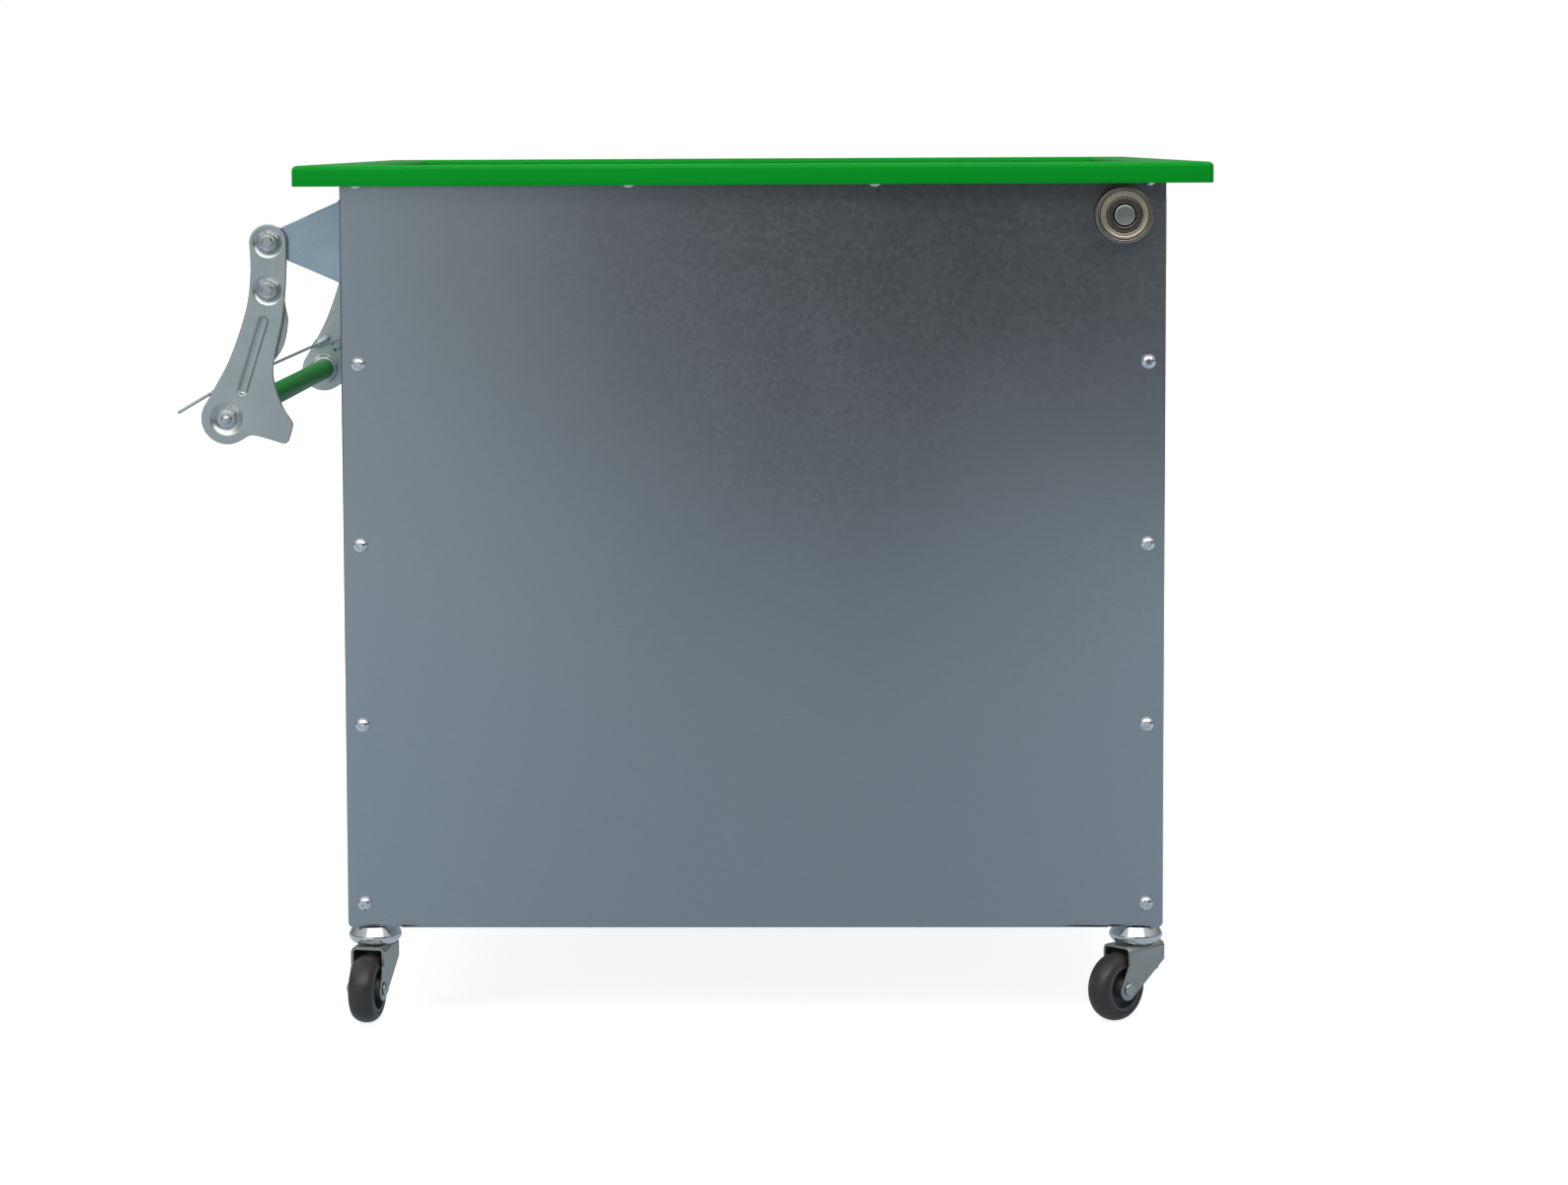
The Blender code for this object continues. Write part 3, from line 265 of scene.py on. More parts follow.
# Screws: their rows and places, a head's rim and its dome in degrees, and the socket's edges
SCREW_ROWS = 5
TOP_SCREW_DROP = 12.0 * MM
LOW_SCREW_RISE = 18.5 * MM
FOOT_SCREW_RISE = 18.0 * MM
FLOOR_SCREW_INSET = 18.0 * MM
FOOT_SCREW_SHIFT = 2.0 * MM
BRACKET_SHEET = 3.0 * MM
SCREW_FOOT = 0.96
SCREW_SINK = 0.2 * MM
SCREW_RIM = 0.35 * MM
SCREW_DOME = (10, 50)
SCREW_DOME_STEPS = 8
SOCKET_RISE = 0.1 * MM
SOCKET_BREAK = (0.5 * MM, 0.3 * MM, 0.25 * MM)
SOCKET_DEPTH = 1.7 * MM

# The stage: where fades start and end, and the least light with what a fade adds
SHADOW_FADE = (0.45, 1.1)
FLOOR_GLOW = (0.84, 0.3)
MIRROR_FADE = (0.0, 0.7)
MIRROR_GLOW = (0.86, 0.34)
DARK_MIDDLE = 0.12
DARK_RIGHT = (-0.80, 0.10)
DARK_UPPER = (-0.05, 0.40)
TONGUE_ACROSS = (0.06, 0.42)
TONGUE_UP = (-0.30, 0.25)
SKY_FADE = (0.05, 0.75)
LAMP_TARGET = (BOX_X, 0.0, 0.35)
WHITE = (1.0, 1.0, 1.0, 1.0)
PALE_BLUE = (0.95, 0.98, 1.0, 1.0)


def size(name, description, default):
    """A length, given in millimetres and kept in metres."""
    return bpy.props.FloatProperty(
        name=name, description=description, default=default * MM, min=0.0, unit="LENGTH", precision=5
    )


def number(name, description, default, **more):
    return bpy.props.FloatProperty(name=name, description=description, default=default, **more)


def count(name, description, default):
    return bpy.props.IntProperty(name=name, description=description, default=default)


def tint(name, description, default):
    return bpy.props.FloatVectorProperty(
        name=name, description=description, default=default, subtype="COLOR", size=3, min=0.0, max=1.0
    )


def section(name, kind):
    """A group of settings, described as the group itself is."""
    return bpy.props.PointerProperty(name=name, description=kind.__doc__.rstrip("."), type=kind)


class BinFinishSettings(bpy.types.PropertyGroup):
    """Colours of the bin's finishes."""

    sheet: tint("Galvanised sheet", "Mean colour of the box's zinc coated sheet", (0.430, 0.450, 0.475))
    paint: tint("Powder coat", "Green of the rim", (0.0004, 0.305, 0.0200))
    tube: tint("Tube coat", "Green of the grip tube", (0.0012, 0.300, 0.0300))
    zinc: tint("Zinc plate", "Colour of the plated arms, hooks and bolts", (0.530, 0.560, 0.545))
    # The brackets' colour is their zinc plate with a painted bluish reflection
    bracket_with_painted_blue: tint("Bracket plate", "Colour of the brackets' zinc with a painted bluish reflection", (0.460, 0.570, 0.635))
    steel: tint("Bright steel", "Colour of the polished nuts", (0.64, 0.64, 0.65))
    chrome: tint("Chrome", "Colour of the castor heads, the screws and the sleeve", (0.80, 0.80, 0.81))
    shield: tint("Bearing shield", "Colour of the bearing's tinted shield", (0.46, 0.41, 0.30))
    ring: tint("Bearing ring", "Colour of the bearing's outer ring", (0.34, 0.29, 0.26))
    # The inner ring is darker than the outer ring by a painted dark reflection
    race_painted_dark: tint("Bearing race", "Colour of the bearing's inner ring", (0.20, 0.165, 0.145))
    fork: tint("Pressed steel", "Colour of the castor forks", (0.42, 0.42, 0.385))
    rubber: tint("Tyre rubber", "Colour of the castor tyres", (0.029, 0.025, 0.022))
    hub: tint("Hub plastic", "Colour of the castor hubs", (0.060, 0.061, 0.066))


class BinRimSettings(bpy.types.PropertyGroup):
    """Sizes of the folded rim."""

    sheet: size("Sheet", "Thickness of the rim's sheet", 1.5)
    lip: size("Lip", "Height of the outer lip", 15)
    leg: size("Leg", "Height of the inner leg", 26)
    bend: size("Bend", "Outer radius of the two folds", 3.5)
    corner: size("Corner", "Radius of the ground corner on the outer lip", 4.0)


class BinScrewSettings(bpy.types.PropertyGroup):
    """Sizes and places of the small screws."""

    head: size("Head", "Diameter of a screw's head", 10.8)
    height: size("Height", "Height of a screw's head", 2.9)
    socket: size("Socket", "Width across the socket's flats", 4.0)
    column: size("Column", "Distance of the screw columns from the middle of the panel", 287)
    top_step: size("Top spacing", "Distance of the inner top screws from the middle", 89)
    floor_step: size("Floor spacing", "Spacing of the screws under the floor's fold", 122)
    seed: count("Seed", "Seed of the sockets' turn", 7)


class BinRollerSettings(bpy.types.PropertyGroup):
    """Sizes of the guide rollers' bearings."""

    bore: size("Bore", "Diameter of the bearing's bore", 17)
    outside: size("Outside", "Diameter of the bearing", 41)
    width: size("Width", "Width of the bearing", 12)
    shank: size("Shank", "Diameter of the shaft behind the bearing", 22)


class BinHandleSettings(bpy.types.PropertyGroup):
    """Sizes of the handle and its latch."""

    sheet: size("Arm sheet", "Thickness of the pressed arms", 2.5)
    edge: size("Arm edge", "Rounding of the arms' cut edges", 0.55)
    dish: size("Dish", "Radius of the bolt seats", 11.0)
    grip_dish: size("Grip dish", "Radius of the seat at the grip", 12.4)
    dish_depth: size("Dish depth", "Depth of the bolt seats", 1.7)
    dish_taper: size("Dish taper", "How far a seat's wall leans in", 3.6)
    rib_width: size("Rib width", "Width of the pressed rib", 8.0)
    rib_depth: size("Rib depth", "Depth of the pressed rib", 2.2)
    bolt: size("Bolt", "Diameter of the bolts", 8.0)
    across: size("Across flats", "Width of the nuts and bolt heads", 13.0)
    head: size("Bolt head", "Height of the bolt heads", 5.3)
    nut: size("Nut", "Height of the nuts' hexagon", 5.0)
    collar: size("Collar", "Height of the lock nuts' collar", 1.2)
    collar_width: size("Collar width", "Diameter of the lock nuts' collar", 10.8)
    dome: size("Dome", "Diameter of the cap nuts' dome", 8.8)
    link: size("Link sheet", "Thickness of the brackets and hooks", 3.0)
    wire: size("Wire", "Diameter of the trigger wire", 2.6)
    finger: size("Finger", "Length of the near finger", 36.5)
    finger_angle: number("Finger angle", "Direction of the fingers", math.radians(210.5), subtype="ANGLE")
    sleeve: size("Sleeve", "Diameter of the ribbed sleeve", 6.8)
    sleeve_length: size("Sleeve length", "Length of the ribbed sleeve", 9.5)
    sleeve_turns: count("Sleeve turns", "Turns of the sleeve's rib", 5)


class BinCastorSettings(bpy.types.PropertyGroup):
    """Sizes of the castors."""

    bolt: size("Bolt", "Diameter of the castor bolts", 10.0)
    across: size("Across flats", "Width of the castor bolts' heads", 17.0)
    bolt_head: size("Bolt head", "Height of the castor bolts' heads", 6.4)
    collar: size("Collar", "Diameter of the bolts' lower collar", 16.0)
    wheel: size("Wheel", "Diameter of the wheels", 50.0)
    tyre_width: size("Tyre width", "Width of the tyres", 18.6)
    tyre: size("Tyre", "Thickness of the tyres", 7.0)
    boss: size("Boss", "Diameter of the hubs' boss", 15.0)
    fork_gap: size("Fork gap", "Distance between a fork's legs", 21.6)
    fork_sheet: size("Fork sheet", "Thickness of a fork's sheet", 2.0)
    web_back: size("Back web", "Distance of a fork's back web from the swivel", 13.0)
    web_drop: size("Back web drop", "Height of a fork's back web", 20.0)
    axle: size("Axle", "Diameter of the axle rivets", 8.0)
    axle_head: size("Axle head", "Diameter of the rivets' heads", 9.6)


class BinStageSettings(bpy.types.PropertyGroup):
    """The floor, the light and the camera."""

    floor: tint("Floor", "Colour of the studio floor", (0.42, 0.42, 0.42))
    mirrored_floor: tint("Mirrored floor", "Colour of the floor in reflections", (0.390, 0.475, 0.545))
    horizon: tint("Horizon", "Colour of the horizon in reflections", (0.17, 0.18, 0.19))
    zenith: tint("Zenith", "Colour of the sky overhead in reflections", (0.66, 0.68, 0.70))
    window: number("Window", "Strength of the window in reflections", 2.4)
    card_light: tint("Card light", "Colour of the card's light part", (0.530, 0.610, 0.660))
    card_dark: tint("Card dark", "Colour of the card's dark part", (0.050, 0.048, 0.046))
    card_width: size("Card width", "Width of the card", 7000)
    card_height: size("Card height", "Height of the card", 1500)
    window_width: size("Window width", "Width of the window", 4400)
    window_height: size("Window height", "Height of the window", 2400)
    card_place: number("Card place", "Where the card stands in front of the bin", -3.0, unit="LENGTH")
    sky: number("Sky", "Strength of the light from all round", 0.62)
    floor_width: size("Floor width", "Width of the studio floor", 30000)
    camera: bpy.props.FloatVectorProperty(
        name="Camera", description="Place of the camera", default=(0.06755, -2.87631, 0.64884),
        subtype="TRANSLATION", unit="LENGTH",
    )
    yaw: number("Yaw", "Turn to the left", 0.02085, subtype="ANGLE")
    pitch: number("Pitch", "Tilt downwards", 0.07922, subtype="ANGLE")
    roll: number("Roll", "Tilt to the side", 0.0049, subtype="ANGLE")
    lens: number("Lens", "Focal length in millimetres", 81.61, unit="CAMERA")
    shift: bpy.props.FloatVectorProperty(
        name="Shift", description="Shift of the picture's frame", default=(0.0496, -0.1102), size=2
    )


class CollectingBinSettings(bpy.types.PropertyGroup):
    """Everything about the bin that a user would change."""

    finish: section("Finishes", BinFinishSettings)
    rim: section("Rim", BinRimSettings)
    screw: section("Screws", BinScrewSettings)
    roller: section("Guide rollers", BinRollerSettings)
    handle: section("Handle", BinHandleSettings)
    castor: section("Castors", BinCastorSettings)
    stage: section("Stage", BinStageSettings)


# Shading


class Signal:
    """One value in a shader, with arithmetic that adds Math nodes."""

    def __init__(self, shading, socket):
        self.shading = shading
        self.socket = socket

    def _math(self, operation, first, second):
        return self.shading.node("ShaderNodeMath", {"operation": operation}, {0: first, 1: second})

    def __add__(self, other):
        return self._math("ADD", self, other)

    def __radd__(self, other):
        return self._math("ADD", other, self)

    def __sub__(self, other):
        return self._math("SUBTRACT", self, other)

    def __rsub__(self, other):
        return self._math("SUBTRACT", other, self)

    def __mul__(self, other):
        return self._math("MULTIPLY", self, other)


class Shading:
    """A node tree that is filled one node at a time."""

    def __init__(self, tree):
        self.tree = tree
        self.tree.nodes.clear()

    def node(self, kind, settings=None, inputs=None, output=0):
        """Adds a node, sets it up, fills or links its sockets, and returns one of its outputs."""
        made = self.tree.nodes.new(kind)
        for name, value in (settings or {}).items():
            setattr(made, name, value)
        for key, value in (inputs or {}).items():
            if isinstance(value, Signal):
                self.tree.links.new(value.socket, made.inputs[key])
            else:
                made.inputs[key].default_value = value
        return Signal(self, made.outputs[output])

    def point(self, scale=(1.0, 1.0, 1.0)):
        """The surface point in the piece's own metres, stretched by scale."""
        place = self.node("ShaderNodeTexCoord", {}, {}, "Object")
        return self.node("ShaderNodeMapping", {}, {"Vector": place, "Scale": scale})

    def cloud(self, scale, detail=3.0, stretch=(1.0, 1.0, 1.0)):
        """Soft noise from 0 to 1."""
        inputs = {"Vector": self.point(stretch), "Scale": scale, "Detail": detail}
        return self.node("ShaderNodeTexNoise", {}, inputs, "Fac")

    def cells(self, scale):
        """A random level for each cell of a crystal pattern."""
        inputs = {"Vector": self.point(), "Scale": scale}
        return self.node("ShaderNodeTexVoronoi", {}, inputs, "Color") * 1.0

    def span(self, value, low, high):
        """Value stretched so that low becomes 0 and high becomes 1."""
        inputs = {"Value": value, "From Min": low, "From Max": high}
        return self.node("ShaderNodeMapRange", {"interpolation_type": "SMOOTHSTEP"}, inputs)

    def mixed(self, factor, first, second):
        """A colour between first and second."""
        return self.node("ShaderNodeMix", {"data_type": "RGBA"}, {0: factor, 6: first, 7: second}, 2)

    def toned(self, factor, colour, low, high):
        """A colour between its own lower and higher levels."""
        return self.mixed(factor, shade(colour, low), shade(colour, high))

    def ray(self, kind):
        """1 for one kind of ray, else 0."""
        return self.node("ShaderNodeLightPath", {}, {}, kind)

    def part(self, vector, axis):
        """One part of a vector."""
        return self.node("ShaderNodeSeparateXYZ", {}, {"Vector": vector}, axis)

    def away_from(self, value, middle):
        """How far a value is from a middle."""
        return self.node("ShaderNodeMath", {"operation": "ABSOLUTE"}, {0: value - middle})

    def finish(self, kind, surface):
        """Adds the output node and links surface to it."""
        output = self.tree.nodes.new(kind)
        self.tree.links.new(surface.socket, output.inputs["Surface"])

    def relief(self, height, distance, strength=1.0, below=None):
        """A bumped normal on top of another one."""
        inputs = {"Height": height, "Distance": distance, "Strength": strength}
        if below is not None:
            inputs["Normal"] = below
        return self.node("ShaderNodeBump", {}, inputs, "Normal")


def surface_of(name, make):
    """A material with the surface that make adds."""
    material = bpy.data.materials.new(name)
    material.use_nodes = True
    shading = Shading(material.node_tree)
    shading.finish("ShaderNodeOutputMaterial", make(shading))
    return material


def finish_of(name, constants, fill):
    """A material whose Principled shader gets constants, then what fill returns for each socket."""
    def make(shading):
        return shading.node("ShaderNodeBsdfPrincipled", {}, {**constants, **fill(shading)}, "BSDF")

    return surface_of(name, make)


def shade(colour, level):
    """A colour scaled to a level, as a socket's four numbers."""
    return (*[min(1.0, c * level) for c in colour], 1.0)


def galvanised_sheet(colour):
    def fill(shading):
        broad = shading.cloud(2.6, 2.0)
        smear = shading.cloud(1.0, 4.0, (9.0, 9.0, 3.5))
        drawn = shading.cloud(1.0, 2.0, (90.0, 90.0, 1400.0))
        crystal = shading.cells(330.0)
        tone = 0.5 + (broad - 0.5) * 0.3 + (smear - 0.5) * 0.15
        tone = tone + (drawn - 0.5) * 0.40 + (crystal - 0.5) * 0.05
        base = shading.toned(tone, colour, 0.86, 1.15)
        wave = shading.relief(shading.cloud(4.0, 1.0), 0.4 * MM, 0.3)
        grained = shading.relief(drawn, 0.003 * MM, 0.3, wave)
        rough = 0.23 + (smear - 0.5) * 0.08 + (crystal - 0.5) * 0.04
        return {"Base Color": base, "Roughness": rough, "Normal": grained}

    return finish_of("galvanised_sheet", {"Metallic": 1.0}, fill)


def powder_coat(colour, name, rough, shine, ior):
    def fill(shading):
        broad = shading.cloud(7.0, 2.0)
        peel = shading.cloud(420.0, 2.0)
        speck = shading.span(shading.cloud(1900.0, 1.0), 0.60, 0.75)
        base = shading.toned(broad, colour, 0.94, 1.06)
        base = shading.mixed(speck * 0.12, base, shade(colour, 1.3))
        bumped = shading.relief(peel, 0.03 * MM, 0.4)
        return {"Base Color": base, "Roughness": rough + (peel - 0.5) * 0.08, "Normal": bumped}

    return finish_of(name, {"Specular IOR Level": shine, "IOR": ior}, fill)


def zinc_plate(colour, name):
    def fill(shading):
        tarnish = shading.span(shading.cloud(38.0, 4.0), 0.30, 0.75)
        cloudy = shading.cloud(140.0, 3.0)
        speck = shading.span(shading.cloud(900.0, 2.0), 0.60, 0.76)
        base = shading.toned(tarnish, colour, 0.95, 1.06)
        base = shading.mixed(speck * 0.10, base, shade(colour, 0.70))
        bumped = shading.relief(cloudy, 0.008 * MM, 0.3)
        return {"Base Color": base, "Roughness": 0.28 + (cloudy - 0.5) * 0.08, "Normal": bumped}

    return finish_of(name, {"Metallic": 0.95}, fill)


def bright_steel(colour):
    def fill(shading):
        cloudy = shading.cloud(90.0, 3.0)
        scratch = shading.cloud(1.0, 2.0, (2600.0, 300.0, 2600.0))
        base = shading.toned(cloudy, colour, 0.94, 1.05)
        rough = 0.30 + (cloudy - 0.5) * 0.06 + (scratch - 0.5) * 0.03
        return {"Base Color": base, "Roughness": rough}

    return finish_of("bright_steel", {"Metallic": 1.0}, fill)


def clouded_metal(colour, name, metallic, cloud, spread, rough):
    """A plain metal, clouded round its colour; rough holds its roughness and how far that varies."""
    def fill(shading):
        cloudy = shading.cloud(*cloud)
        base = shading.toned(cloudy, colour, 1.0 - spread, 1.0 + spread)
        return {"Base Color": base, "Roughness": rough[0] + (cloudy - 0.5) * rough[1]}

    return finish_of(name, {"Metallic": metallic}, fill)


def pressed_steel(colour):
    def fill(shading):
        cloudy = shading.cloud(60.0, 4.0)
        speck = shading.span(shading.cloud(700.0, 3.0), 0.58, 0.74)
        base = shading.toned(cloudy, colour, 0.88, 1.10)
        base = shading.mixed(speck * 0.15, base, shade(colour, 0.62))
        bumped = shading.relief(shading.cloud(500.0, 2.0), 0.008 * MM, 0.3)
        return {"Base Color": base, "Roughness": 0.30 + (cloudy - 0.5) * 0.12, "Normal": bumped}

    return finish_of("pressed_steel", {"Metallic": 0.95}, fill)


def tyre_rubber(colour):
    def fill(shading):
        dust = shading.span(shading.cloud(45.0, 5.0), 0.48, 0.80)
        grain = shading.cloud(1600.0, 2.0)
        base = shading.mixed(dust * 0.25, shade(colour, 1.0), shade((0.13, 0.115, 0.100), 1.0))
        bumped = shading.relief(grain, 0.015 * MM, 0.3)
        return {"Base Color": base, "Roughness": 0.36 + dust * 0.2, "Normal": bumped}

    return finish_of("tyre_rubber", {"Specular IOR Level": 0.6}, fill)


def hub_plastic(colour):
    def fill(shading):
        cloudy = shading.cloud(80.0, 3.0)
        grain = shading.cloud(1300.0, 2.0)
        base = shading.toned(cloudy, colour, 0.8, 1.3)
        bumped = shading.relief(grain, 0.02 * MM, 0.5)
        return {"Base Color": base, "Roughness": 0.42 + (cloudy - 0.5) * 0.1, "Normal": bumped}

    return finish_of("hub_plastic", {}, fill)


FINISHES = {}


# Mesh making


class Shape:
    """One mesh under construction."""

    def __init__(self):
        self.mesh = bmesh.new()

    def skin(self, loops, place=None, ring=False, start=False, end=False):
        """Closed loops of points joined one to the next; ring joins the last to the first."""
        place = place or Matrix()
        rings = [[self.mesh.verts.new(place @ Vector(p)) for p in loop] for loop in loops]
        pairs = list(zip(rings, rings[1:]))
        if ring:
            pairs.append((rings[-1], rings[0]))
        for first, second in pairs:
            for i in range(len(first)):
                j = (i + 1) % len(first)
                self.mesh.faces.new((first[i], first[j], second[j], second[i]))
        if start:
            self.mesh.faces.new(list(reversed(rings[0])))
        if end:
            self.mesh.faces.new(rings[-1])
        return rings

    def capped(self, loops, place=None):
        """Loops joined one to the next, with a face at both ends."""
        self.skin(loops, place, start=True, end=True)

    def fill(self, rings):
        """Flat faces between an outer ring of points and the rings inside it."""
        edges = []
        for ring in rings:
            for i, vert in enumerate(ring):
                edges.append(self.mesh.edges.get((vert, ring[(i + 1) % len(ring)])))
        bmesh.ops.triangle_fill(self.mesh, use_beauty=True, use_dissolve=False, edges=edges)

    def finished(self, name):
        """The mesh, welded and with its faces turned outwards."""
        bmesh.ops.remove_doubles(self.mesh, verts=self.mesh.verts, dist=WELD)
        bmesh.ops.recalc_face_normals(self.mesh, faces=self.mesh.faces)
        data = bpy.data.meshes.new(name)
        self.mesh.to_mesh(data)
        self.mesh.free()
        return data

    def piece(self, name, finish, nodes, crease=CREASE, body=None):
        """The finished object in place of nodes, riding where they ride or on the body named."""
        placed_piece(name, self.finished(name), finish, nodes, crease, body)


def linked(name, data):
    """A new object for data in the scene."""
    made = bpy.data.objects.new(name, data)
    bpy.context.scene.collection.objects.link(made)
    return made


def placed_piece(name, data, finish, nodes, crease=CREASE, body=None):
    """An object for data with its finish, its body and the nodes that it stands for."""
    data.materials.clear()
    data.materials.append(FINISHES[finish])
    data.shade_smooth()
    data.set_sharp_from_angle(angle=math.radians(crease))
    made = linked(name, data)
    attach(made, body or BODY_OF[nodes[0]])
    if nodes:
        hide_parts(*nodes)


def eased(points, radius, steps=5, closed=False):
    """A run of points with its corners rounded."""
    spots = [Vector(p) for p in points]
    if closed:
        triples = zip(spots[-1:] + spots[:-1], spots, spots[1:] + spots[:1])
        path = []
    else:
        triples = zip(spots, spots[1:], spots[2:])
        path = [spots[0]]
    for before, corner, after in triples:
        shorter = min((before - corner).length, (after - corner).length)
        reach = min(radius, shorter * EASE_SHARE)
        enter = corner + (before - corner).normalized() * reach
        leave = corner + (after - corner).normalized() * reach
        for i in range(steps + 1):
            t = i / steps
            path.append(enter * (1 - t) ** 2 + corner * (2 * t * (1 - t)) + leave * t * t)
    if not closed:
        path.append(spots[-1])
    return path


def circle(radius, height, steps=ROUND, centre=(0.0, 0.0)):
    """Points of a circle in the local XY plane."""
    turns = [2 * math.pi * i / steps for i in range(steps)]
    return [(centre[0] + radius * math.cos(t), centre[1] + radius * math.sin(t), height) for t in turns]


def hexagon(across, limit, height, steps=HEX_STEPS):
    """Points of a hexagon whose corners are turned down to a limiting radius."""
    points = []
    for i in range(steps):
        turn = 2 * math.pi * i / steps
        off_flat = (turn + math.pi / 6) % (math.pi / 3) - math.pi / 6
        radius = min(limit, across / 2 / math.cos(off_flat))
        points.append((radius * math.cos(turn), radius * math.sin(turn), height))
    return points


def turned(profile, steps=ROUND):
    """Loops of a turned form, from (radius, height) points."""
    return [circle(radius, height, steps) for radius, height in profile]


def mirrored(profile):
    """A profile's points in reverse, on the other side of its middle."""
    return [(radius, -height) for radius, height in reversed(profile)]


def turned_piece(name, finish, nodes, profile, place, ring=False, steps=ROUND, crease=CREASE, body=None):
    """A turned piece; a ring's profile closes on itself, any other gets a face at both ends."""
    shape = Shape()
    shape.skin(turned(profile, steps), place, ring=ring, start=not ring, end=not ring)
    shape.piece(name, finish, nodes, crease, body)


def along(place, direction):
    """A matrix that carries local Z onto a direction at a place."""
    turn = Vector(direction).to_track_quat("Z", "Y").to_matrix().to_4x4()
    return Matrix.Translation(place) @ turn


def side_place(side, centre, face):
    """A matrix for a flat outline in the XZ plane whose local Z points out of one long side."""
    columns = ((1.0, 0.0, 0.0), (0.0, 0.0, 1.0), (0.0, float(side), 0.0))
    turn = Matrix(columns).transposed().to_4x4()
    return Matrix.Translation((centre.x, side * face, centre.z)) @ turn


def arc(centre, radius, start, end, steps=ARC_STEPS):
    turns = [math.radians(start + (end - start) * i / steps) for i in range(steps + 1)]
    return [(centre[0] + radius * math.cos(t), centre[1] + radius * math.sin(t)) for t in turns]


def smooth_run(points, steps=RUN_STEPS):
    """Points on a smooth curve between the first and last of points, both left out."""
    spots = [Vector(p) for p in points]
    spots = [2 * spots[0] - spots[1], *spots, 2 * spots[-1] - spots[-2]]
    run = []
    for before, first, second, after in zip(spots, spots[1:], spots[2:], spots[3:]):
        for i in range(steps):
            t = i / steps
            run.append(
                0.5 * (2 * first + (second - before) * t
                       + (2 * before - 5 * first + 4 * second - after) * t**2
                       + (3 * first - before - 3 * second + after) * t**3)
            )
    return run[1:]


def in_metres(points):
    return [(x * MM, z * MM) for x, z in points]


def arm_outline():
    """The arm's outline round its pivot end, down its outer edge, round the grip and up by the nose."""
    top = arc((0.0, 0.0), ARM_TOP_RADIUS, 0, 180)
    end = arc(GRIP, GRIP_END_RADIUS, *GRIP_ARC)
    outer = smooth_run([top[-1], *in_metres(ARM_OUTER_EDGE), end[0]])
    nose = in_metres(ARM_NOSE)
    lower = smooth_run([end[-1], *in_metres(ARM_LOWER_EDGE), nose[0]])
    tip = smooth_run([nose[0], *nose[1:-1], nose[-1]])
    inner = smooth_run([nose[-1], *in_metres(ARM_INNER_EDGE), top[0]])
    return [Vector(p) for p in (*top, *outer, *end, *lower, nose[0], *tip, nose[-1], *inner)]


def hook_outline():
    """The hook's outline: its eye on the latch pivot, its back, its tail and its belly."""
    eye = arc(LATCH_SPOT, HOOK_EYE, *HOOK_EYE_ARC)
    tail = arc(HOOK_TAIL, HOOK_TAIL_RADIUS, *HOOK_TAIL_ARC)
    back = smooth_run([eye[-1], *in_metres(HOOK_BACK), tail[0]])
    belly = smooth_run([tail[-1], *in_metres(HOOK_BELLY), eye[0]])
    return [Vector(p) for p in (*eye, *back, *tail, *belly)]


def inset(outline, distance):
    """An outline that runs anticlockwise, drawn in by a distance."""
    drawn = []
    for i, point in enumerate(outline):
        before = (point - outline[i - 1]).normalized()
        after = (outline[(i + 1) % len(outline)] - point).normalized()
        lean = (before + after).normalized()
        drawn.append(point + Vector((-lean.y, lean.x)) * distance)
    return drawn


def stadium(start, end, radius, height):
    """Points round a straight slot between two centres."""
    run = Vector(end) - Vector(start)
    heading = math.degrees(math.atan2(run.y, run.x))
    points = arc(end, radius, heading - 90, heading + 90, SLOT_STEPS)
    points += arc(start, radius, heading + 90, heading + 270, SLOT_STEPS)
    return [(x, y, height) for x, y in points]


def pressed_plate(shape, outline, thickness, edge, pressings, place):
    """A plate with rounded edges and pressings, each a pair of front and back loops and a bored flag."""
    middle = edge * EDGE_MIDDLE
    steps = [(edge * EDGE_SUPPORT, 0.0), (edge, 0.0), (middle, -middle), (0.0, -edge)]
    steps += [(d, -thickness - h) for d, h in reversed(steps)]
    loops = [[(*p, h) for p in inset(outline, d)] for d, h in steps]
    rings = shape.skin(loops, place)
    front = [rings[0]]
    back = [rings[-1]]
    for front_loops, back_loops, bored in pressings:
        upper = shape.skin(front_loops, place, end=not bored)
        lower = shape.skin(back_loops, place, end=not bored)
        front.append(upper[0])
        back.append(lower[0])
        if bored:
            for i, vert in enumerate(upper[-1]):
                j = (i + 1) % len(upper[-1])
                shape.mesh.faces.new((vert, upper[-1][j], lower[-1][j], lower[-1][i]))
    shape.fill(front)
    shape.fill(back)


def bored(front, back, spot):
    """A round pressing with a bore, from the profiles of its front and back."""
    loops = [[circle(r, h, ROUND, spot) for r, h in run] for run in (front, back)]
    return (*loops, True)


def dished_seat(spot, radius, bore, handle):
    """A round bolt seat pressed into an arm like a shallow bowl."""
    depth = handle.dish_depth
    sheet = -handle.sheet
    low = sheet - depth
    seat = radius - handle.dish_taper
    foot = radius - handle.dish_taper / 2
    wide, narrow = DISH_BACK_MARGINS
    front = [(radius + DISH_MARGIN, 0.0), (radius, 0.0), (seat, -depth), (bore, -depth)]
    back = [(radius + wide, sheet), (radius + narrow, sheet), (foot, low), (bore, low)]
    return bored(eased(front, DISH_EASE, BEND_STEPS), eased(back, DISH_BACK_EASE), spot)


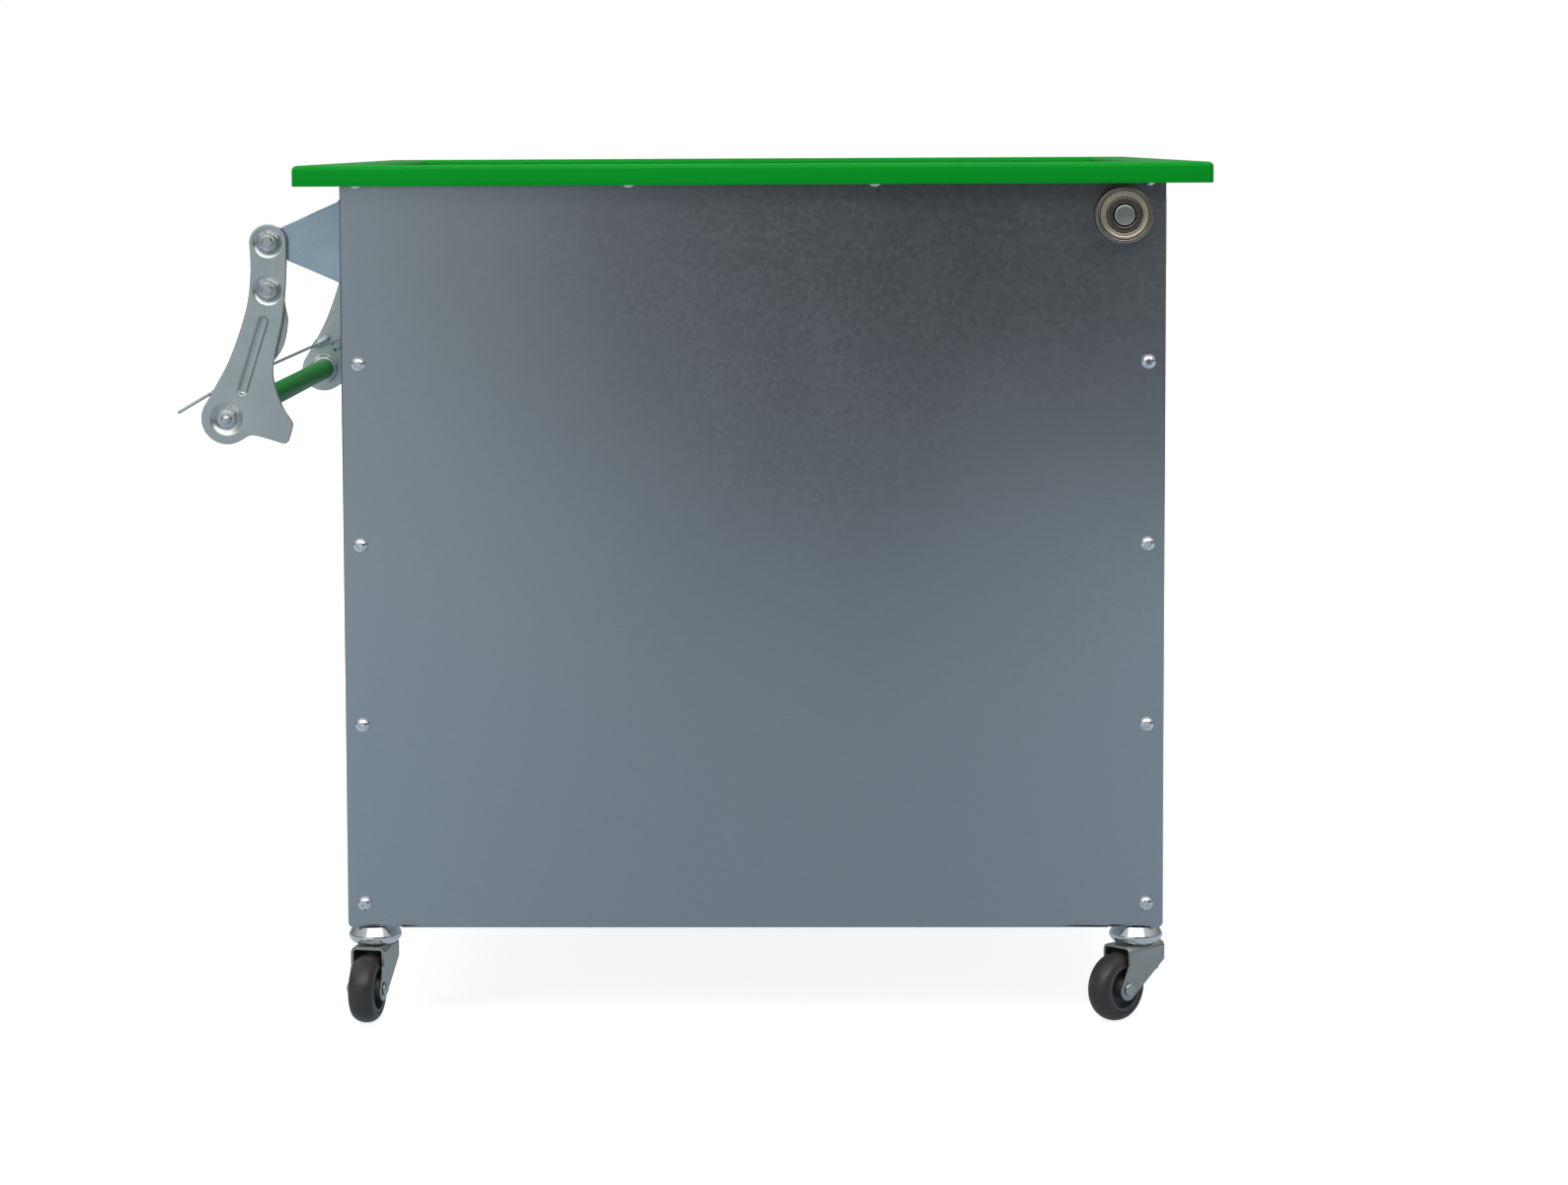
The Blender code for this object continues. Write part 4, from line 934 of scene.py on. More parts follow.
def pressed_rib(handle):
    """The long narrow rib pressed into an arm between its bolt seats."""
    half = handle.rib_width / 2
    depth = handle.rib_depth
    sheet = -handle.sheet
    low = sheet - depth
    wide, narrow = RIB_BACK_MARGINS
    floor, back_floor = RIB_FLOORS
    front = [(half + RIB_MARGIN, 0.0), (half, 0.0), (half * floor, -depth), (RIB_MIDDLE, -depth)]
    back = [(half + wide, sheet), (half + narrow, sheet), (half * back_floor, low), (RIB_MIDDLE, low)]
    runs = (eased(front, RIB_EASE), eased(back, RIB_BACK_EASE))
    loops = [[stadium(RIB_START, RIB_END, r, h) for r, h in run] for run in runs]
    return (*loops, False)


def plain_bore(spot, bore, thickness):
    """A drilled hole with broken edges."""
    front = [(bore + HOLE_MARGIN, 0.0), (bore + HOLE_BREAK, 0.0), (bore, -HOLE_BREAK)]
    back = [(r, -thickness - h) for r, h in front]
    return bored(front, back, spot)


def softened_copy(name, node, finish, width):
    """A node's own mesh with its cut edges rounded and its flat faces shaded flat."""
    shape = bmesh.new()
    shape.from_mesh(frame["nodes"][node].data)
    bmesh.ops.remove_doubles(shape, verts=shape.verts, dist=WELD)
    bmesh.ops.dissolve_limit(
        shape, angle_limit=math.radians(FLAT_ANGLE), verts=shape.verts, edges=shape.edges,
        use_dissolve_boundaries=False,
    )
    sharp = [e for e in shape.edges if e.is_manifold and e.calc_face_angle() > math.radians(SOFT_CREASE)]
    bmesh.ops.bevel(
        shape, geom=sharp, offset=width, offset_type="OFFSET", segments=2, profile=0.5,
        affect="EDGES", clamp_overlap=True,
    )
    data = bpy.data.meshes.new(name)
    shape.to_mesh(data)
    shape.free()
    placed_piece(name, data, finish, [node])
    for face in data.polygons:
        level = max(abs(part) for part in face.normal) > LEVEL_FACE
        face.use_smooth = not (level or face.area > BROAD_FACE and len(face.vertices) > 4)


# Pieces


def build_sheet_metal():
    for node in ("near_panel", "far_panel", "left_wall", "right_wall", "floor_sheet"):
        softened_copy(f"{node}_galvanised", node, "galvanised_sheet", BOX_EDGE)


def rounded_rectangle(half_x, half_y, corner, height):
    """A rectangle round the box with rounded corners."""
    points = []
    for sign_x, sign_y, start in ((1, 1, 0), (-1, 1, 90), (-1, -1, 180), (1, -1, 270)):
        centre = (BOX_X + sign_x * (half_x - corner), sign_y * (half_y - corner))
        points += arc(centre, corner, start, start + 90, CORNER_STEPS)
    return [(x, y, height) for x, y in points]


def build_rim(rim):
    """The folded rim: a leg inside the box, a flat top and a lip outside."""
    top = RIM_HIGH.z
    overhang = RIM_HIGH.x - BOX_X - BOX_HALF
    leg_out = -RIM_LEG_OFFSET
    leg_in = leg_out - rim.sheet
    inner_bend = rim.bend - rim.sheet
    outer_centre = (overhang - rim.bend, top - rim.bend)
    inner_centre = (leg_in + rim.bend, top - rim.bend)

    def cut_edge(first, second, foot):
        """The rounded edge of the sheet, from one of its faces to the other."""
        above = foot + rim.bend
        run = [(first, above), (first, foot), (second, foot), (second, above)]
        return [tuple(p) for p in eased(run, RIM_EDGE, 3)]

    section = cut_edge(overhang - rim.sheet, overhang, top - rim.lip)
    section += arc(outer_centre, rim.bend, 0, 90, BEND_STEPS)
    section += arc(inner_centre, rim.bend, 90, 180, BEND_STEPS)
    section += cut_edge(leg_in, leg_out, top - rim.leg)
    section += arc(inner_centre, inner_bend, 180, 90, INNER_BEND_STEPS)
    section += arc(outer_centre, inner_bend, 90, 0, INNER_BEND_STEPS)
    loops = []
    for offset, height in section:
        corner = RIM_EDGE + (rim.corner - RIM_EDGE) * (offset - leg_in) / (overhang - leg_in)
        loops.append(rounded_rectangle(BOX_HALF + offset, PANEL_FACE + offset, corner, height))
    shape = Shape()
    shape.skin(loops, ring=True)
    shape.piece("rim_folded", "powder_coat", [f"rim_{side}" for side in RIM_SIDES], ROUND_CREASE)


def build_roller(place, side, roller):
    """A shielded ball bearing on its stub shaft."""
    centre = Vector(JOINTS[f"roller_{place}_spin"]["pos_m"])
    out = along(centre, (0, side, 0))
    half = roller.width / 2
    bore = roller.bore / 2
    outside = roller.outside / 2
    pitch = (bore + outside) / 2
    inner_land = pitch - RACE_LAND
    outer_land = pitch + RACE_LAND
    seat = outer_land + SHIELD_SEAT
    node_low, node_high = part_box(f"roller_{place}_shaft")
    back = min(abs(node_low.y), abs(node_high.y)) - abs(centre.y)
    backing = back + BACKING
    journal = bore - JOURNAL_GAP
    shank = roller.shank / 2
    tip = half + SHAFT_PROUD
    shoulder = -half - GAP
    shaft = [
        (SHAFT_TIP, tip), (journal, tip), (journal, shoulder), (shank, shoulder), (shank, backing),
        (BACKING_RADIUS, backing), (BACKING_RADIUS, back), (BACKING_BORE, back),
    ]
    node = f"roller_{place}_shaft"
    turned_piece(f"roller_{place}_stub", "zinc_plate", [node], eased(shaft, SHAFT_EASE), out)

    inner = [(bore, half), (inner_land, half), (inner_land, -half), (bore, -half)]
    inner = eased(inner, RING_CHAMFER, closed=True)
    node = f"bearing_{place}_inner_ring"
    turned_piece(f"bearing_{place}_inner", "bearing_race", [node], inner, out, ring=True)

    shield_top = half - SHIELD_DROP
    pocket = shield_top - SHIELD_POCKET
    outer = [
        (seat, half), (outside, half), (outside, -half), (outer_land, -half), (outer_land, pocket),
        (seat, pocket),
    ]
    outer = eased(outer, RING_CHAMFER, closed=True)
    node = f"bearing_{place}_outer_ring"
    turned_piece(f"bearing_{place}_outer", "bearing_ring", [node], outer, out, ring=True)

    inside = inner_land + SHIELD_GAPS[0]
    edge = seat - SHIELD_GAPS[1]
    step = (inner_land + seat) / 2
    low = shield_top - SHIELD_STEP
    foot = shield_top - SHIELD_SHEET
    shield = [
        (inside, low), (step, low), (step + SHIELD_SLOPE, shield_top), (edge, shield_top), (edge, foot),
        (inside, foot),
    ]
    shield = eased(shield, SHIELD_EASE, 2, closed=True)
    body = f"roller_{place}"
    turned_piece(f"bearing_{place}_cover", "bearing_shield", [], shield, out, ring=True, body=body)


def hex_body(across, low, high, low_chamfer, high_chamfer):
    """Loops of a hexagon with its corners turned down at either end."""
    flat = across / 2
    rise = (flat * HEX_CORNER - flat) * math.tan(HEX_CHAMFER)
    plain = ((HEX_CORNER, 0.0),)
    foot = HEX_FOOT if low_chamfer else plain
    top = HEX_TOP if high_chamfer else plain
    loops = [hexagon(across, flat * share, low + rise * up) for share, up in foot]
    return loops + [hexagon(across, flat * share, high - down) for share, down in top]


def threaded(radius, low, high, pitch):
    """A profile of thread crests from low to high, with a chamfered end."""
    depth = pitch * THREAD_DEPTH
    rise, fall = THREAD_CREST
    clear, taper, tip = THREAD_END
    profile = []
    for i in range(max(1, int((high - low) / pitch))):
        base = low + i * pitch
        profile += [(radius - depth, base), (radius, base + pitch * rise), (radius, base + pitch * fall)]
    profile = [(r, h) for r, h in profile if h < high - pitch * clear]
    return [*profile, (radius - depth, high - pitch * taper), (radius - depth * tip, high)]


def seat_rise(handle):
    """Height of a bowl's floor over the nuts' seat in the frame."""
    return ARM_FACE - handle.dish_depth - NUT_SEAT + NUT_LIFT


def build_bolt_and_nut(kind, place, side, spot, link_face, handle):
    """A hexagon bolt from the inside with a lock nut in the arm's dish."""
    under = link_face - handle.link - GAP
    top = NUT_SEAT + handle.nut + handle.collar + BOLT_PROUD
    length = top - under
    out = along((spot.x, side * under, spot.z), (0, side, 0))
    radius = handle.bolt / 2
    bolt = Shape()
    bolt.capped(hex_body(handle.across, -handle.head, 0.0, True, False), out)
    stem = [(radius, -STEM_SINK), (radius, length - PLAIN_END)]
    stem += threaded(radius, length - THREAD_RUN, length, THREAD_PITCH)
    bolt.capped(turned(stem, SMALL_ROUND), out)
    bolt.piece(f"{kind}_hex_bolt_{place}", "zinc_plate", [f"{kind}_bolt_{place}"])

    seat = along((spot.x, side * NUT_SEAT, spot.z), (0, side, 0))
    collar = handle.collar_width / 2
    bore = radius + NUT_BORE_GAP
    high = handle.nut + handle.collar
    foot = handle.nut - COLLAR_TAPER
    rise = [
        (collar + COLLAR_FLARE, foot), (collar, foot), (collar - COLLAR_TAPER, high), (bore, high),
        (bore, high - NUT_BORE_DEPTH),
    ]
    loops = hex_body(handle.across, seat_rise(handle), handle.nut, True, True)
    loops += turned(eased(rise, COLLAR_EASE), HEX_STEPS)
    nut = Shape()
    nut.capped(loops, seat)
    nut.piece(f"{kind}_lock_nut_{place}", "bright_steel", [f"{kind}_nut_{place}"])


def build_domed_nut(name, node, side, spot, handle, rod=0.0):
    """A domed nut on an end of the grip, with the rod that runs from it through the tube."""
    seat = along((spot.x, side * NUT_SEAT, spot.z), (0, side, 0))
    rim = handle.dome / 2
    collar = handle.collar_width / 2
    ring_top = handle.nut + handle.collar / 2
    profile = eased([(collar, handle.nut), (collar, ring_top), (rim, ring_top)], DOME_EASE, 3)
    for i in range(DOME_STEPS + 1):
        turn = math.radians(90 * i / DOME_STEPS)
        radius = max(rim * math.cos(turn), DOME_TIP)
        profile.append((radius, ring_top + DOME_HEIGHT * math.sin(turn)))
    loops = hex_body(handle.across, seat_rise(handle), handle.nut, True, True)
    shape = Shape()
    shape.capped([*loops, *turned(profile, HEX_STEPS)], seat)
    if rod:
        radius = handle.bolt / 2
        stem = [(radius, handle.nut / 2), (radius, -rod), (radius - handle.edge, -rod - handle.edge)]
        shape.capped(turned(stem, SMALL_ROUND), seat)
    shape.piece(name, "bright_steel", [node])


def build_arm(place, side, handle):
    """A pressed arm with three dished bolt seats and a rib."""
    bore = handle.bolt / 2 + BOLT_GAP
    seats = (((0.0, 0.0), handle.dish), (LATCH_SPOT, handle.dish), (GRIP, handle.grip_dish))
    pressings = [dished_seat(spot, radius, bore, handle) for spot, radius in seats]
    pressings.append(pressed_rib(handle))
    flat = side_place(side, PIVOT, ARM_FACE)
    shape = Shape()
    pressed_plate(shape, arm_outline(), handle.sheet, handle.edge, pressings, flat)
    shape.piece(f"pressed_arm_{place}", "zinc_plate", [f"handle_arm_{place}"], SOFT_CREASE)


def build_hook(place, side, link_face, handle):
    """A flat latch hook behind an arm."""
    pressings = [plain_bore(LATCH_SPOT, handle.bolt / 2 + HOOK_GAP, handle.link)]
    flat = side_place(side, PIVOT, link_face)
    shape = Shape()
    pressed_plate(shape, hook_outline(), handle.link, HOOK_EDGE, pressings, flat)
    shape.piece(f"hook_plate_{place}", "zinc_plate", [f"latch_hook_{place}"], SOFT_CREASE)


def swept(path, radius, steps=20):
    """Loops of a round bar along a path in space."""
    loops = []
    across = None
    for i, point in enumerate(path):
        ahead = path[min(i + 1, len(path) - 1)] - path[max(i - 1, 0)]
        ahead.normalize()
        if across is None:
            across = ahead.orthogonal().normalized()
        across = (across - ahead * across.dot(ahead)).normalized()
        other = ahead.cross(across)
        turns = [2 * math.pi * k / steps for k in range(steps)]
        loops.append([point + (across * math.cos(t) + other * math.sin(t)) * radius for t in turns])
    return loops


def build_wire(handle):
    """The trigger wire between the hooks' tails, with its fingers and the ribbed sleeve."""
    low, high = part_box("trigger_wire")
    half = handle.wire / 2
    tail = Vector((PIVOT.x + HOOK_TAIL[0], 0.0, PIVOT.z + HOOK_TAIL[1]))
    lean = Vector((math.cos(handle.finger_angle), 0.0, math.sin(handle.finger_angle)))
    near = tail + Vector((0.0, low.y + half, 0.0))
    far = tail + Vector((0.0, high.y - half, 0.0))
    corners = [near + lean * handle.finger, near, far, far - lean * WIRE_FAR_END]
    path = eased(corners, WIRE_BEND, 10)
    loops = swept(path, half)
    tips = []
    for end, inside in ((0, 1), (-1, -2)):
        heading = (path[end] - path[inside]).normalized()
        tips.append([path[end] + (Vector(p) - path[end]) * WIRE_TIP for p in loops[end]])
        loops[end] = [Vector(p) - heading * WIRE_TIP_LENGTH for p in loops[end]]
    shape = Shape()
    shape.capped([tips[0], *loops, tips[1]])
    shape.piece("trigger_bent_wire", "zinc_plate", ["trigger_wire"])

    outer = handle.sleeve / 2
    bore = half + GAP
    place = along(far - lean * SLEEVE_START, -lean)
    rings = handle.sleeve_turns * 10
    steps = SMALL_ROUND
    loops = []
    for i in range(rings + 1):
        level = i / rings
        loop = []
        for k in range(steps):
            turn = 2 * math.pi * k / steps
            crest = 0.5 + 0.5 * math.cos(2 * math.pi * handle.sleeve_turns * level - turn)
            radius = outer - SLEEVE_GROOVE * (1 - crest**SLEEVE_CREST)
            loop.append((radius * math.cos(turn), radius * math.sin(turn), handle.sleeve_length * level))
        loops.append(loop)
    bores = [circle(bore, handle.sleeve_length, steps), circle(bore, 0.0, steps)]
    shape = Shape()
    shape.skin([*loops, *bores], place, ring=True)
    shape.piece("finger_sleeve", "chrome", ["wire_sleeve"], ROUND_CREASE)


def build_tube(handle):
    """The green grip tube between the arms."""
    centre = Vector(((TUBE_LOW.x + TUBE_HIGH.x) / 2, 0.0, (TUBE_LOW.z + TUBE_HIGH.z) / 2))
    outer = (TUBE_HIGH.z - TUBE_LOW.z) / 2
    half = TUBE_HIGH.y
    bore = outer - TUBE_WALL
    profile = eased([(bore, half), (outer, half), (outer, -half), (bore, -half)], EASE, closed=True)
    place = along(centre, (0, 1, 0))
    turned_piece("grip_green_tube", "tube_coat", ["handle_tube"], profile, place, ring=True)


def build_castor_head(corner, castor, upright):
    """A castor's head and the bolt that it swivels on."""
    top = HEAD_HIGH.z
    low = HEAD_LOW.z
    height = top - low
    rim = (HEAD_HIGH.x - HEAD_LOW.x) / 2
    radius = castor.bolt / 2
    bore = radius + BOLT_GAP
    cup = [(rim - inset, top - share * height) for inset, share in CUP_SHOULDER]
    cup += [(rim - inset, low) for inset in CUP_LIP]
    cup.append((rim - CUP_INSIDE, low + CUP_RECESS))
    profile = [(bore, top), *eased(cup, CUP_EASE, BEND_STEPS), (bore, low + CUP_RECESS)]
    turned_piece(f"castor_{corner}_dome", "chrome", [f"castor_{corner}_head"], profile, upright, ring=True)

    seat = CASTOR_BOLT_TOP - castor.bolt_head
    collar = castor.collar / 2
    collar_top = low - 2 * SWIVEL_GAP - castor.fork_sheet
    shape = Shape()
    shape.capped(hex_body(castor.across, seat, seat + castor.bolt_head, False, True), upright)
    stem = [
        (radius, seat + STEM_SINK), (radius, collar_top), (collar, collar_top),
        (collar, collar_top - COLLAR_HEIGHT),
    ]
    shape.capped(turned(eased(stem, COLLAR_EASE), SMALL_ROUND), upright)
    shape.piece(f"castor_{corner}_swivel_bolt", "zinc_plate", [f"castor_{corner}_bolt"])


def build_castor_fork(corner, castor, swivel, wheel, axis):
    """A castor's fork with its back web, and the axle rivet."""
    softened_copy(f"castor_{corner}_pressed_fork", f"castor_{corner}_fork", "pressed_steel", FORK_EDGE)

    ahead = Vector((wheel.x - swivel.x, wheel.y - swivel.y, 0.0)).normalized()
    crown_foot = HEAD_LOW.z - SWIVEL_GAP - castor.fork_sheet
    half = castor.fork_gap / 2 + WEB_OVERLAP
    web = [(-half, 0.0), (half, 0.0), (half, -castor.web_drop), (-half, -castor.web_drop)]
    middle = Vector((swivel.x, swivel.y, crown_foot + WEB_OVERLAP)) - ahead * castor.web_back
    columns = (Vector(axis), Vector((0.0, 0.0, 1.0)), ahead)
    place = Matrix.Translation(middle) @ Matrix(columns).transposed().to_4x4()
    outline = eased(web, WEB_CORNER, closed=True)
    shape = Shape()
    shape.capped([[(*p, h) for p in outline] for h in (0.0, castor.fork_sheet)], place)
    shape.piece(f"castor_{corner}_fork_back", "pressed_steel", [], body=f"fork_{corner}")

    head = castor.axle_head / 2
    pin = castor.axle / 2
    leg = castor.fork_gap / 2 + castor.fork_sheet + GAP
    crown = leg + RIVET_RISE
    dimple, dimple_edge, dimple_depth = RIVET_DIMPLE
    rivet = [
        (dimple, crown - dimple_depth), (dimple_edge, crown), (head * RIVET_TOP, crown),
        (head, leg + RIVET_RISE * RIVET_SIDE), (head, leg), (pin, leg),
    ]
    rivet = eased(rivet + mirrored(rivet), EASE)
    node = f"castor_{corner}_axle"
    turned_piece(f"castor_{corner}_rivet", "zinc_plate", [node], rivet, along(wheel, axis), steps=SMALL_ROUND)


def build_castor_wheel(corner, castor, across):
    """A castor's crowned tyre with its parting line, and the hub."""
    outside = castor.wheel / 2
    half = castor.tyre_width / 2
    core = outside - castor.tyre
    tread = []
    for i in range(TREAD_STEPS + 1):
        turn = math.radians(TREAD_TURN * i / TREAD_STEPS)
        tread.append((outside - TREAD_CROWN * (1 - math.sin(turn)), half * math.cos(turn)))
    depth, width = PARTING_LINE
    parting = [(outside - depth, width), (outside, 0.0), (outside - depth, -width)]
    tyre = [(core, half), *tread, *parting, *mirrored(tread), (core, -half)]
    node = f"castor_{corner}_tyre"
    turned_piece(f"castor_{corner}_tread", "tyre_rubber", [node], tyre, across, ring=True, crease=SOFT_CREASE)

    bore = castor.axle / 2 + BOLT_GAP
    boss = castor.boss / 2
    ring = core - GAP
    lip = ring - HUB_RIM
    boss_half = castor.fork_gap / 2 - GAP
    web = HUB_WEB / 2
    face = [
        (bore, boss_half), (boss - BOSS_TAPER, boss_half), (boss, web), (lip - GAP, web), (lip, half),
        (ring, half),
    ]
    hub = eased(face + mirrored(face), EASE, closed=True)
    node = f"castor_{corner}_hub"
    turned_piece(f"castor_{corner}_wheel_hub", "hub_plastic", [node], hub, across, ring=True)


def build_castor(corner, castor):
    """One swivel castor: head, bolt, fork, axle rivet, tyre and hub."""
    swivel = Vector(JOINTS[f"castor_{corner}_swivel"]["pos_m"])
    roll = JOINTS[f"castor_{corner}_roll"]
    wheel = Vector(roll["pos_m"])
    build_castor_head(corner, castor, Matrix.Translation((swivel.x, swivel.y, 0.0)))
    build_castor_fork(corner, castor, swivel, wheel, roll["axis"])
    build_castor_wheel(corner, castor, along(wheel, roll["axis"]))


# Screws, by Geometry Nodes


def screw_head(screw):
    """One screw's domed head with a hexagon socket, standing on the local XY plane."""
    rim = screw.head / 2
    first, sweep = SCREW_DOME
    profile = [(rim * SCREW_FOOT, -SCREW_SINK), (rim, SCREW_RIM)]
    for i in range(SCREW_DOME_STEPS + 1):
        turn = math.radians(first + sweep * i / SCREW_DOME_STEPS)
        profile.append((rim * math.cos(turn), SCREW_RIM + screw.height * math.sin(turn)))
    top = SCREW_RIM + screw.height * math.sin(math.radians(first + sweep)) + SOCKET_RISE
    corner = screw.socket / math.sqrt(3)
    wider, longer, lower = SOCKET_BREAK
    loops = turned(profile, HEX_STEPS)
    loops.append(hexagon(screw.socket + wider, corner + longer, top))
    loops.append(hexagon(screw.socket, corner, top - lower))
    loops.append(hexagon(screw.socket, corner, top - SOCKET_DEPTH))
    shape = Shape()
    shape.capped(loops)
    return linked("screw_head", shape.finished("screw_head"))


def screw_places(screw):
    """Every small screw's place and the direction that its head faces."""
    top = RIM_HIGH.z - TOP_SCREW_DROP
    bottom = PANEL_LOW.z + LOW_SCREW_RISE
    places = []
    for side in SIDES.values():
        facing = (0.0, float(side), 0.0)
        for x in (-screw.column, screw.column):
            for i in range(SCREW_ROWS):
                height = top + (bottom - top) * i / (SCREW_ROWS - 1)
                places.append(((BOX_X + x, side * PANEL_FACE, height), facing))
        for x in (-screw.top_step, screw.top_step):
            places.append(((BOX_X + x, side * PANEL_FACE, top), facing))
        inward = PANEL_FACE - FLOOR_SCREW_INSET
        for i in (-1, 0, 1):
            places.append(((BOX_X + i * screw.floor_step, side * inward, PANEL_LOW.z), (0.0, 0.0, -1.0)))
        low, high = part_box("handle_bracket_near" if side < 0 else "handle_bracket_far")
        foot_y = (low.y + high.y) / 2 - side * FOOT_SCREW_SHIFT
        for rise in (-FOOT_SCREW_RISE, FOOT_SCREW_RISE):
            places.append(((high.x - BRACKET_SHEET, foot_y, PIVOT.z + rise), (-1.0, 0.0, 0.0)))
    return places


def screw_tree(material):
    """Heads set on points, turned to each point's facing and then at random about it."""
    tree = bpy.data.node_groups.new("screws_on_points", "GeometryNodeTree")
    tree.is_modifier = True
    inputs = {}
    for name, kind in (("Points", "Geometry"), ("Head", "Object"), ("Scale", "Float"), ("Seed", "Int")):
        inputs[name] = tree.interface.new_socket(name=name, in_out="INPUT", socket_type=f"NodeSocket{kind}")
    tree.interface.new_socket(name="Screws", in_out="OUTPUT", socket_type="NodeSocketGeometry")
    shading = Shading(tree)

    def given(name):
        return shading.node("NodeGroupInput", {}, {}, name)

    original = {"transform_space": "ORIGINAL"}
    head = shading.node("GeometryNodeObjectInfo", original, {"Object": given("Head")}, "Geometry")
    vector = {"data_type": "FLOAT_VECTOR"}
    facing = shading.node("GeometryNodeInputNamedAttribute", vector, {"Name": "facing"})
    aimed = shading.node("FunctionNodeAlignRotationToVector", {"axis": "Z"}, {"Vector": facing})
    whole_turn = {2: 0.0, 3: 2 * math.pi, "Seed": given("Seed")}
    turn = shading.node("FunctionNodeRandomValue", {"data_type": "FLOAT"}, whole_turn, 1)
    spin = shading.node("FunctionNodeAxisAngleToRotation", {}, {"Axis": (0.0, 0.0, 1.0), "Angle": turn})
    both = {"Rotation": aimed, "Rotate By": spin}
    whole = shading.node("FunctionNodeRotateRotation", {"rotation_space": "LOCAL"}, both)
    heads = {"Points": given("Points"), "Instance": head, "Rotation": whole, "Scale": given("Scale")}
    set_on = shading.node("GeometryNodeInstanceOnPoints", {}, heads)
    real = shading.node("GeometryNodeRealizeInstances", {}, {"Geometry": set_on})
    dressed = shading.node("GeometryNodeSetMaterial", {}, {"Geometry": real, "Material": material})
    output = tree.nodes.new("NodeGroupOutput")
    tree.links.new(dressed.socket, output.inputs["Screws"])
    return tree, inputs


def build_screws(screw):
    places = screw_places(screw)
    points = bpy.data.meshes.new("screw_points")
    points.from_pydata([spot for spot, _ in places], [], [])
    facing = points.attributes.new("facing", "FLOAT_VECTOR", "POINT")
    for entry, (_, direction) in zip(facing.data, places):
        entry.vector = direction
    carrier = linked("screw_points", points)
    head = screw_head(screw)
    tree, inputs = screw_tree(FINISHES["chrome"])
    modifier = carrier.modifiers.new("screws", "NODES")
    modifier.node_group = tree
    modifier[inputs["Head"].identifier] = head
    modifier[inputs["Scale"].identifier] = 1.0
    modifier[inputs["Seed"].identifier] = screw.seed
    bpy.context.view_layer.update()
    graph = bpy.context.evaluated_depsgraph_get()
    data = bpy.data.meshes.new_from_object(carrier.evaluated_get(graph))
    carrier.modifiers.remove(modifier)
    bpy.data.objects.remove(carrier)
    bpy.data.objects.remove(head)
    if not data.polygons:
        raise RuntimeError("the screws came out empty")
    data.name = "panel_screws"
    placed_piece("panel_screws", data, "chrome", [], body="bin")


# Stage


def board(name, corners, material):
    """A flat board of one face with its material, linked into the scene."""
    data = bpy.data.meshes.new(name)
    data.from_pydata(corners, [], [(0, 1, 2, 3)])
    data.materials.append(material)
    made = linked(name, data)
    return made


def build_floor(stage):
    """A white floor with the bin's shadow near it; reflections see a cool grey, paler to the sides."""
    def make(shading):
        speck = shading.cloud(3.0, 2.0)
        colour = shading.toned(speck, stage.floor, 0.99, 1.01)
        place = {0: shading.point()}
        away = shading.node("ShaderNodeVectorMath", {"operation": "LENGTH"}, place, "Value")
        white = FLOOR_GLOW[0] + shading.span(away, *SHADOW_FADE) * FLOOR_GLOW[1]
        diffuse = shading.node("ShaderNodeBsdfDiffuse", {}, {"Color": colour}, "BSDF")
        glow = shading.node("ShaderNodeEmission", {}, {"Strength": white * shading.ray("Is Camera Ray")})
        lit = shading.node("ShaderNodeAddShader", {}, {0: diffuse, 1: glow})
        beside = shading.away_from(shading.part(shading.point(), "X"), DARK_MIDDLE)
        level = MIRROR_GLOW[0] + shading.span(beside, *MIRROR_FADE) * MIRROR_GLOW[1]
        cool = {"Color": (*stage.mirrored_floor, 1.0), "Strength": level}
        plain = shading.node("ShaderNodeEmission", {}, cool)
        return shading.node("ShaderNodeMixShader", {}, {0: shading.ray("Is Glossy Ray"), 1: lit, 2: plain})

    half = stage.floor_width / 2
    corners = [(-half, -half, 0), (half, -half, 0), (half, half, 0), (-half, half, 0)]
    board("studio_floor", corners, surface_of("studio_floor", make))


def build_world(stage):
    """White behind the bin, soft light on it, and a grey horizon under a bright sky in reflections."""
    world = bpy.data.worlds.new("studio_light")
    bpy.context.scene.world = world
    world.use_nodes = True
    shading = Shading(world.node_tree)
    glossy = shading.ray("Is Glossy Ray")
    rise = shading.part(shading.node("ShaderNodeTexCoord", {}, {}, "Generated"), "Z")
    sky = shading.mixed(shading.span(rise, *SKY_FADE), (*stage.horizon, 1.0), (*stage.zenith, 1.0))
    colour = shading.mixed(glossy, WHITE, sky)
    rays = shading.ray("Is Camera Ray") + glossy + shading.ray("Is Transmission Ray")
    strength = stage.sky + shading.span(rays, 0.0, 1.0) * (1.0 - stage.sky)
    light = shading.node("ShaderNodeBackground", {}, {"Color": colour, "Strength": strength})
    shading.finish("ShaderNodeOutputWorld", light)


def build_lamp(name, place, power, width):
    """A soft square lamp that looks at the bin."""
    data = bpy.data.lights.new(name, "AREA")
    data.energy = power
    data.size = width
    lamp = linked(name, data)
    lamp.location = place
    lamp.visible_glossy = False
    lamp.rotation_euler = (Vector(LAMP_TARGET) - Vector(place)).to_track_quat("-Z", "Y").to_euler()


def mirrored_board(name, width, span, stage, fill):
    """An upright board in front of the bin that only reflections show."""
    def make(shading):
        return shading.node("ShaderNodeEmission", {}, fill(shading))

    half = width / 2
    y = stage.card_place
    low, high = span
    corners = [(-half, y, low), (half, y, low), (half, y, high), (-half, y, high)]
    made = board(name, corners, surface_of(name, make))
    made.visible_camera = False
    made.visible_diffuse = False
    made.visible_shadow = False
    made.visible_transmission = False


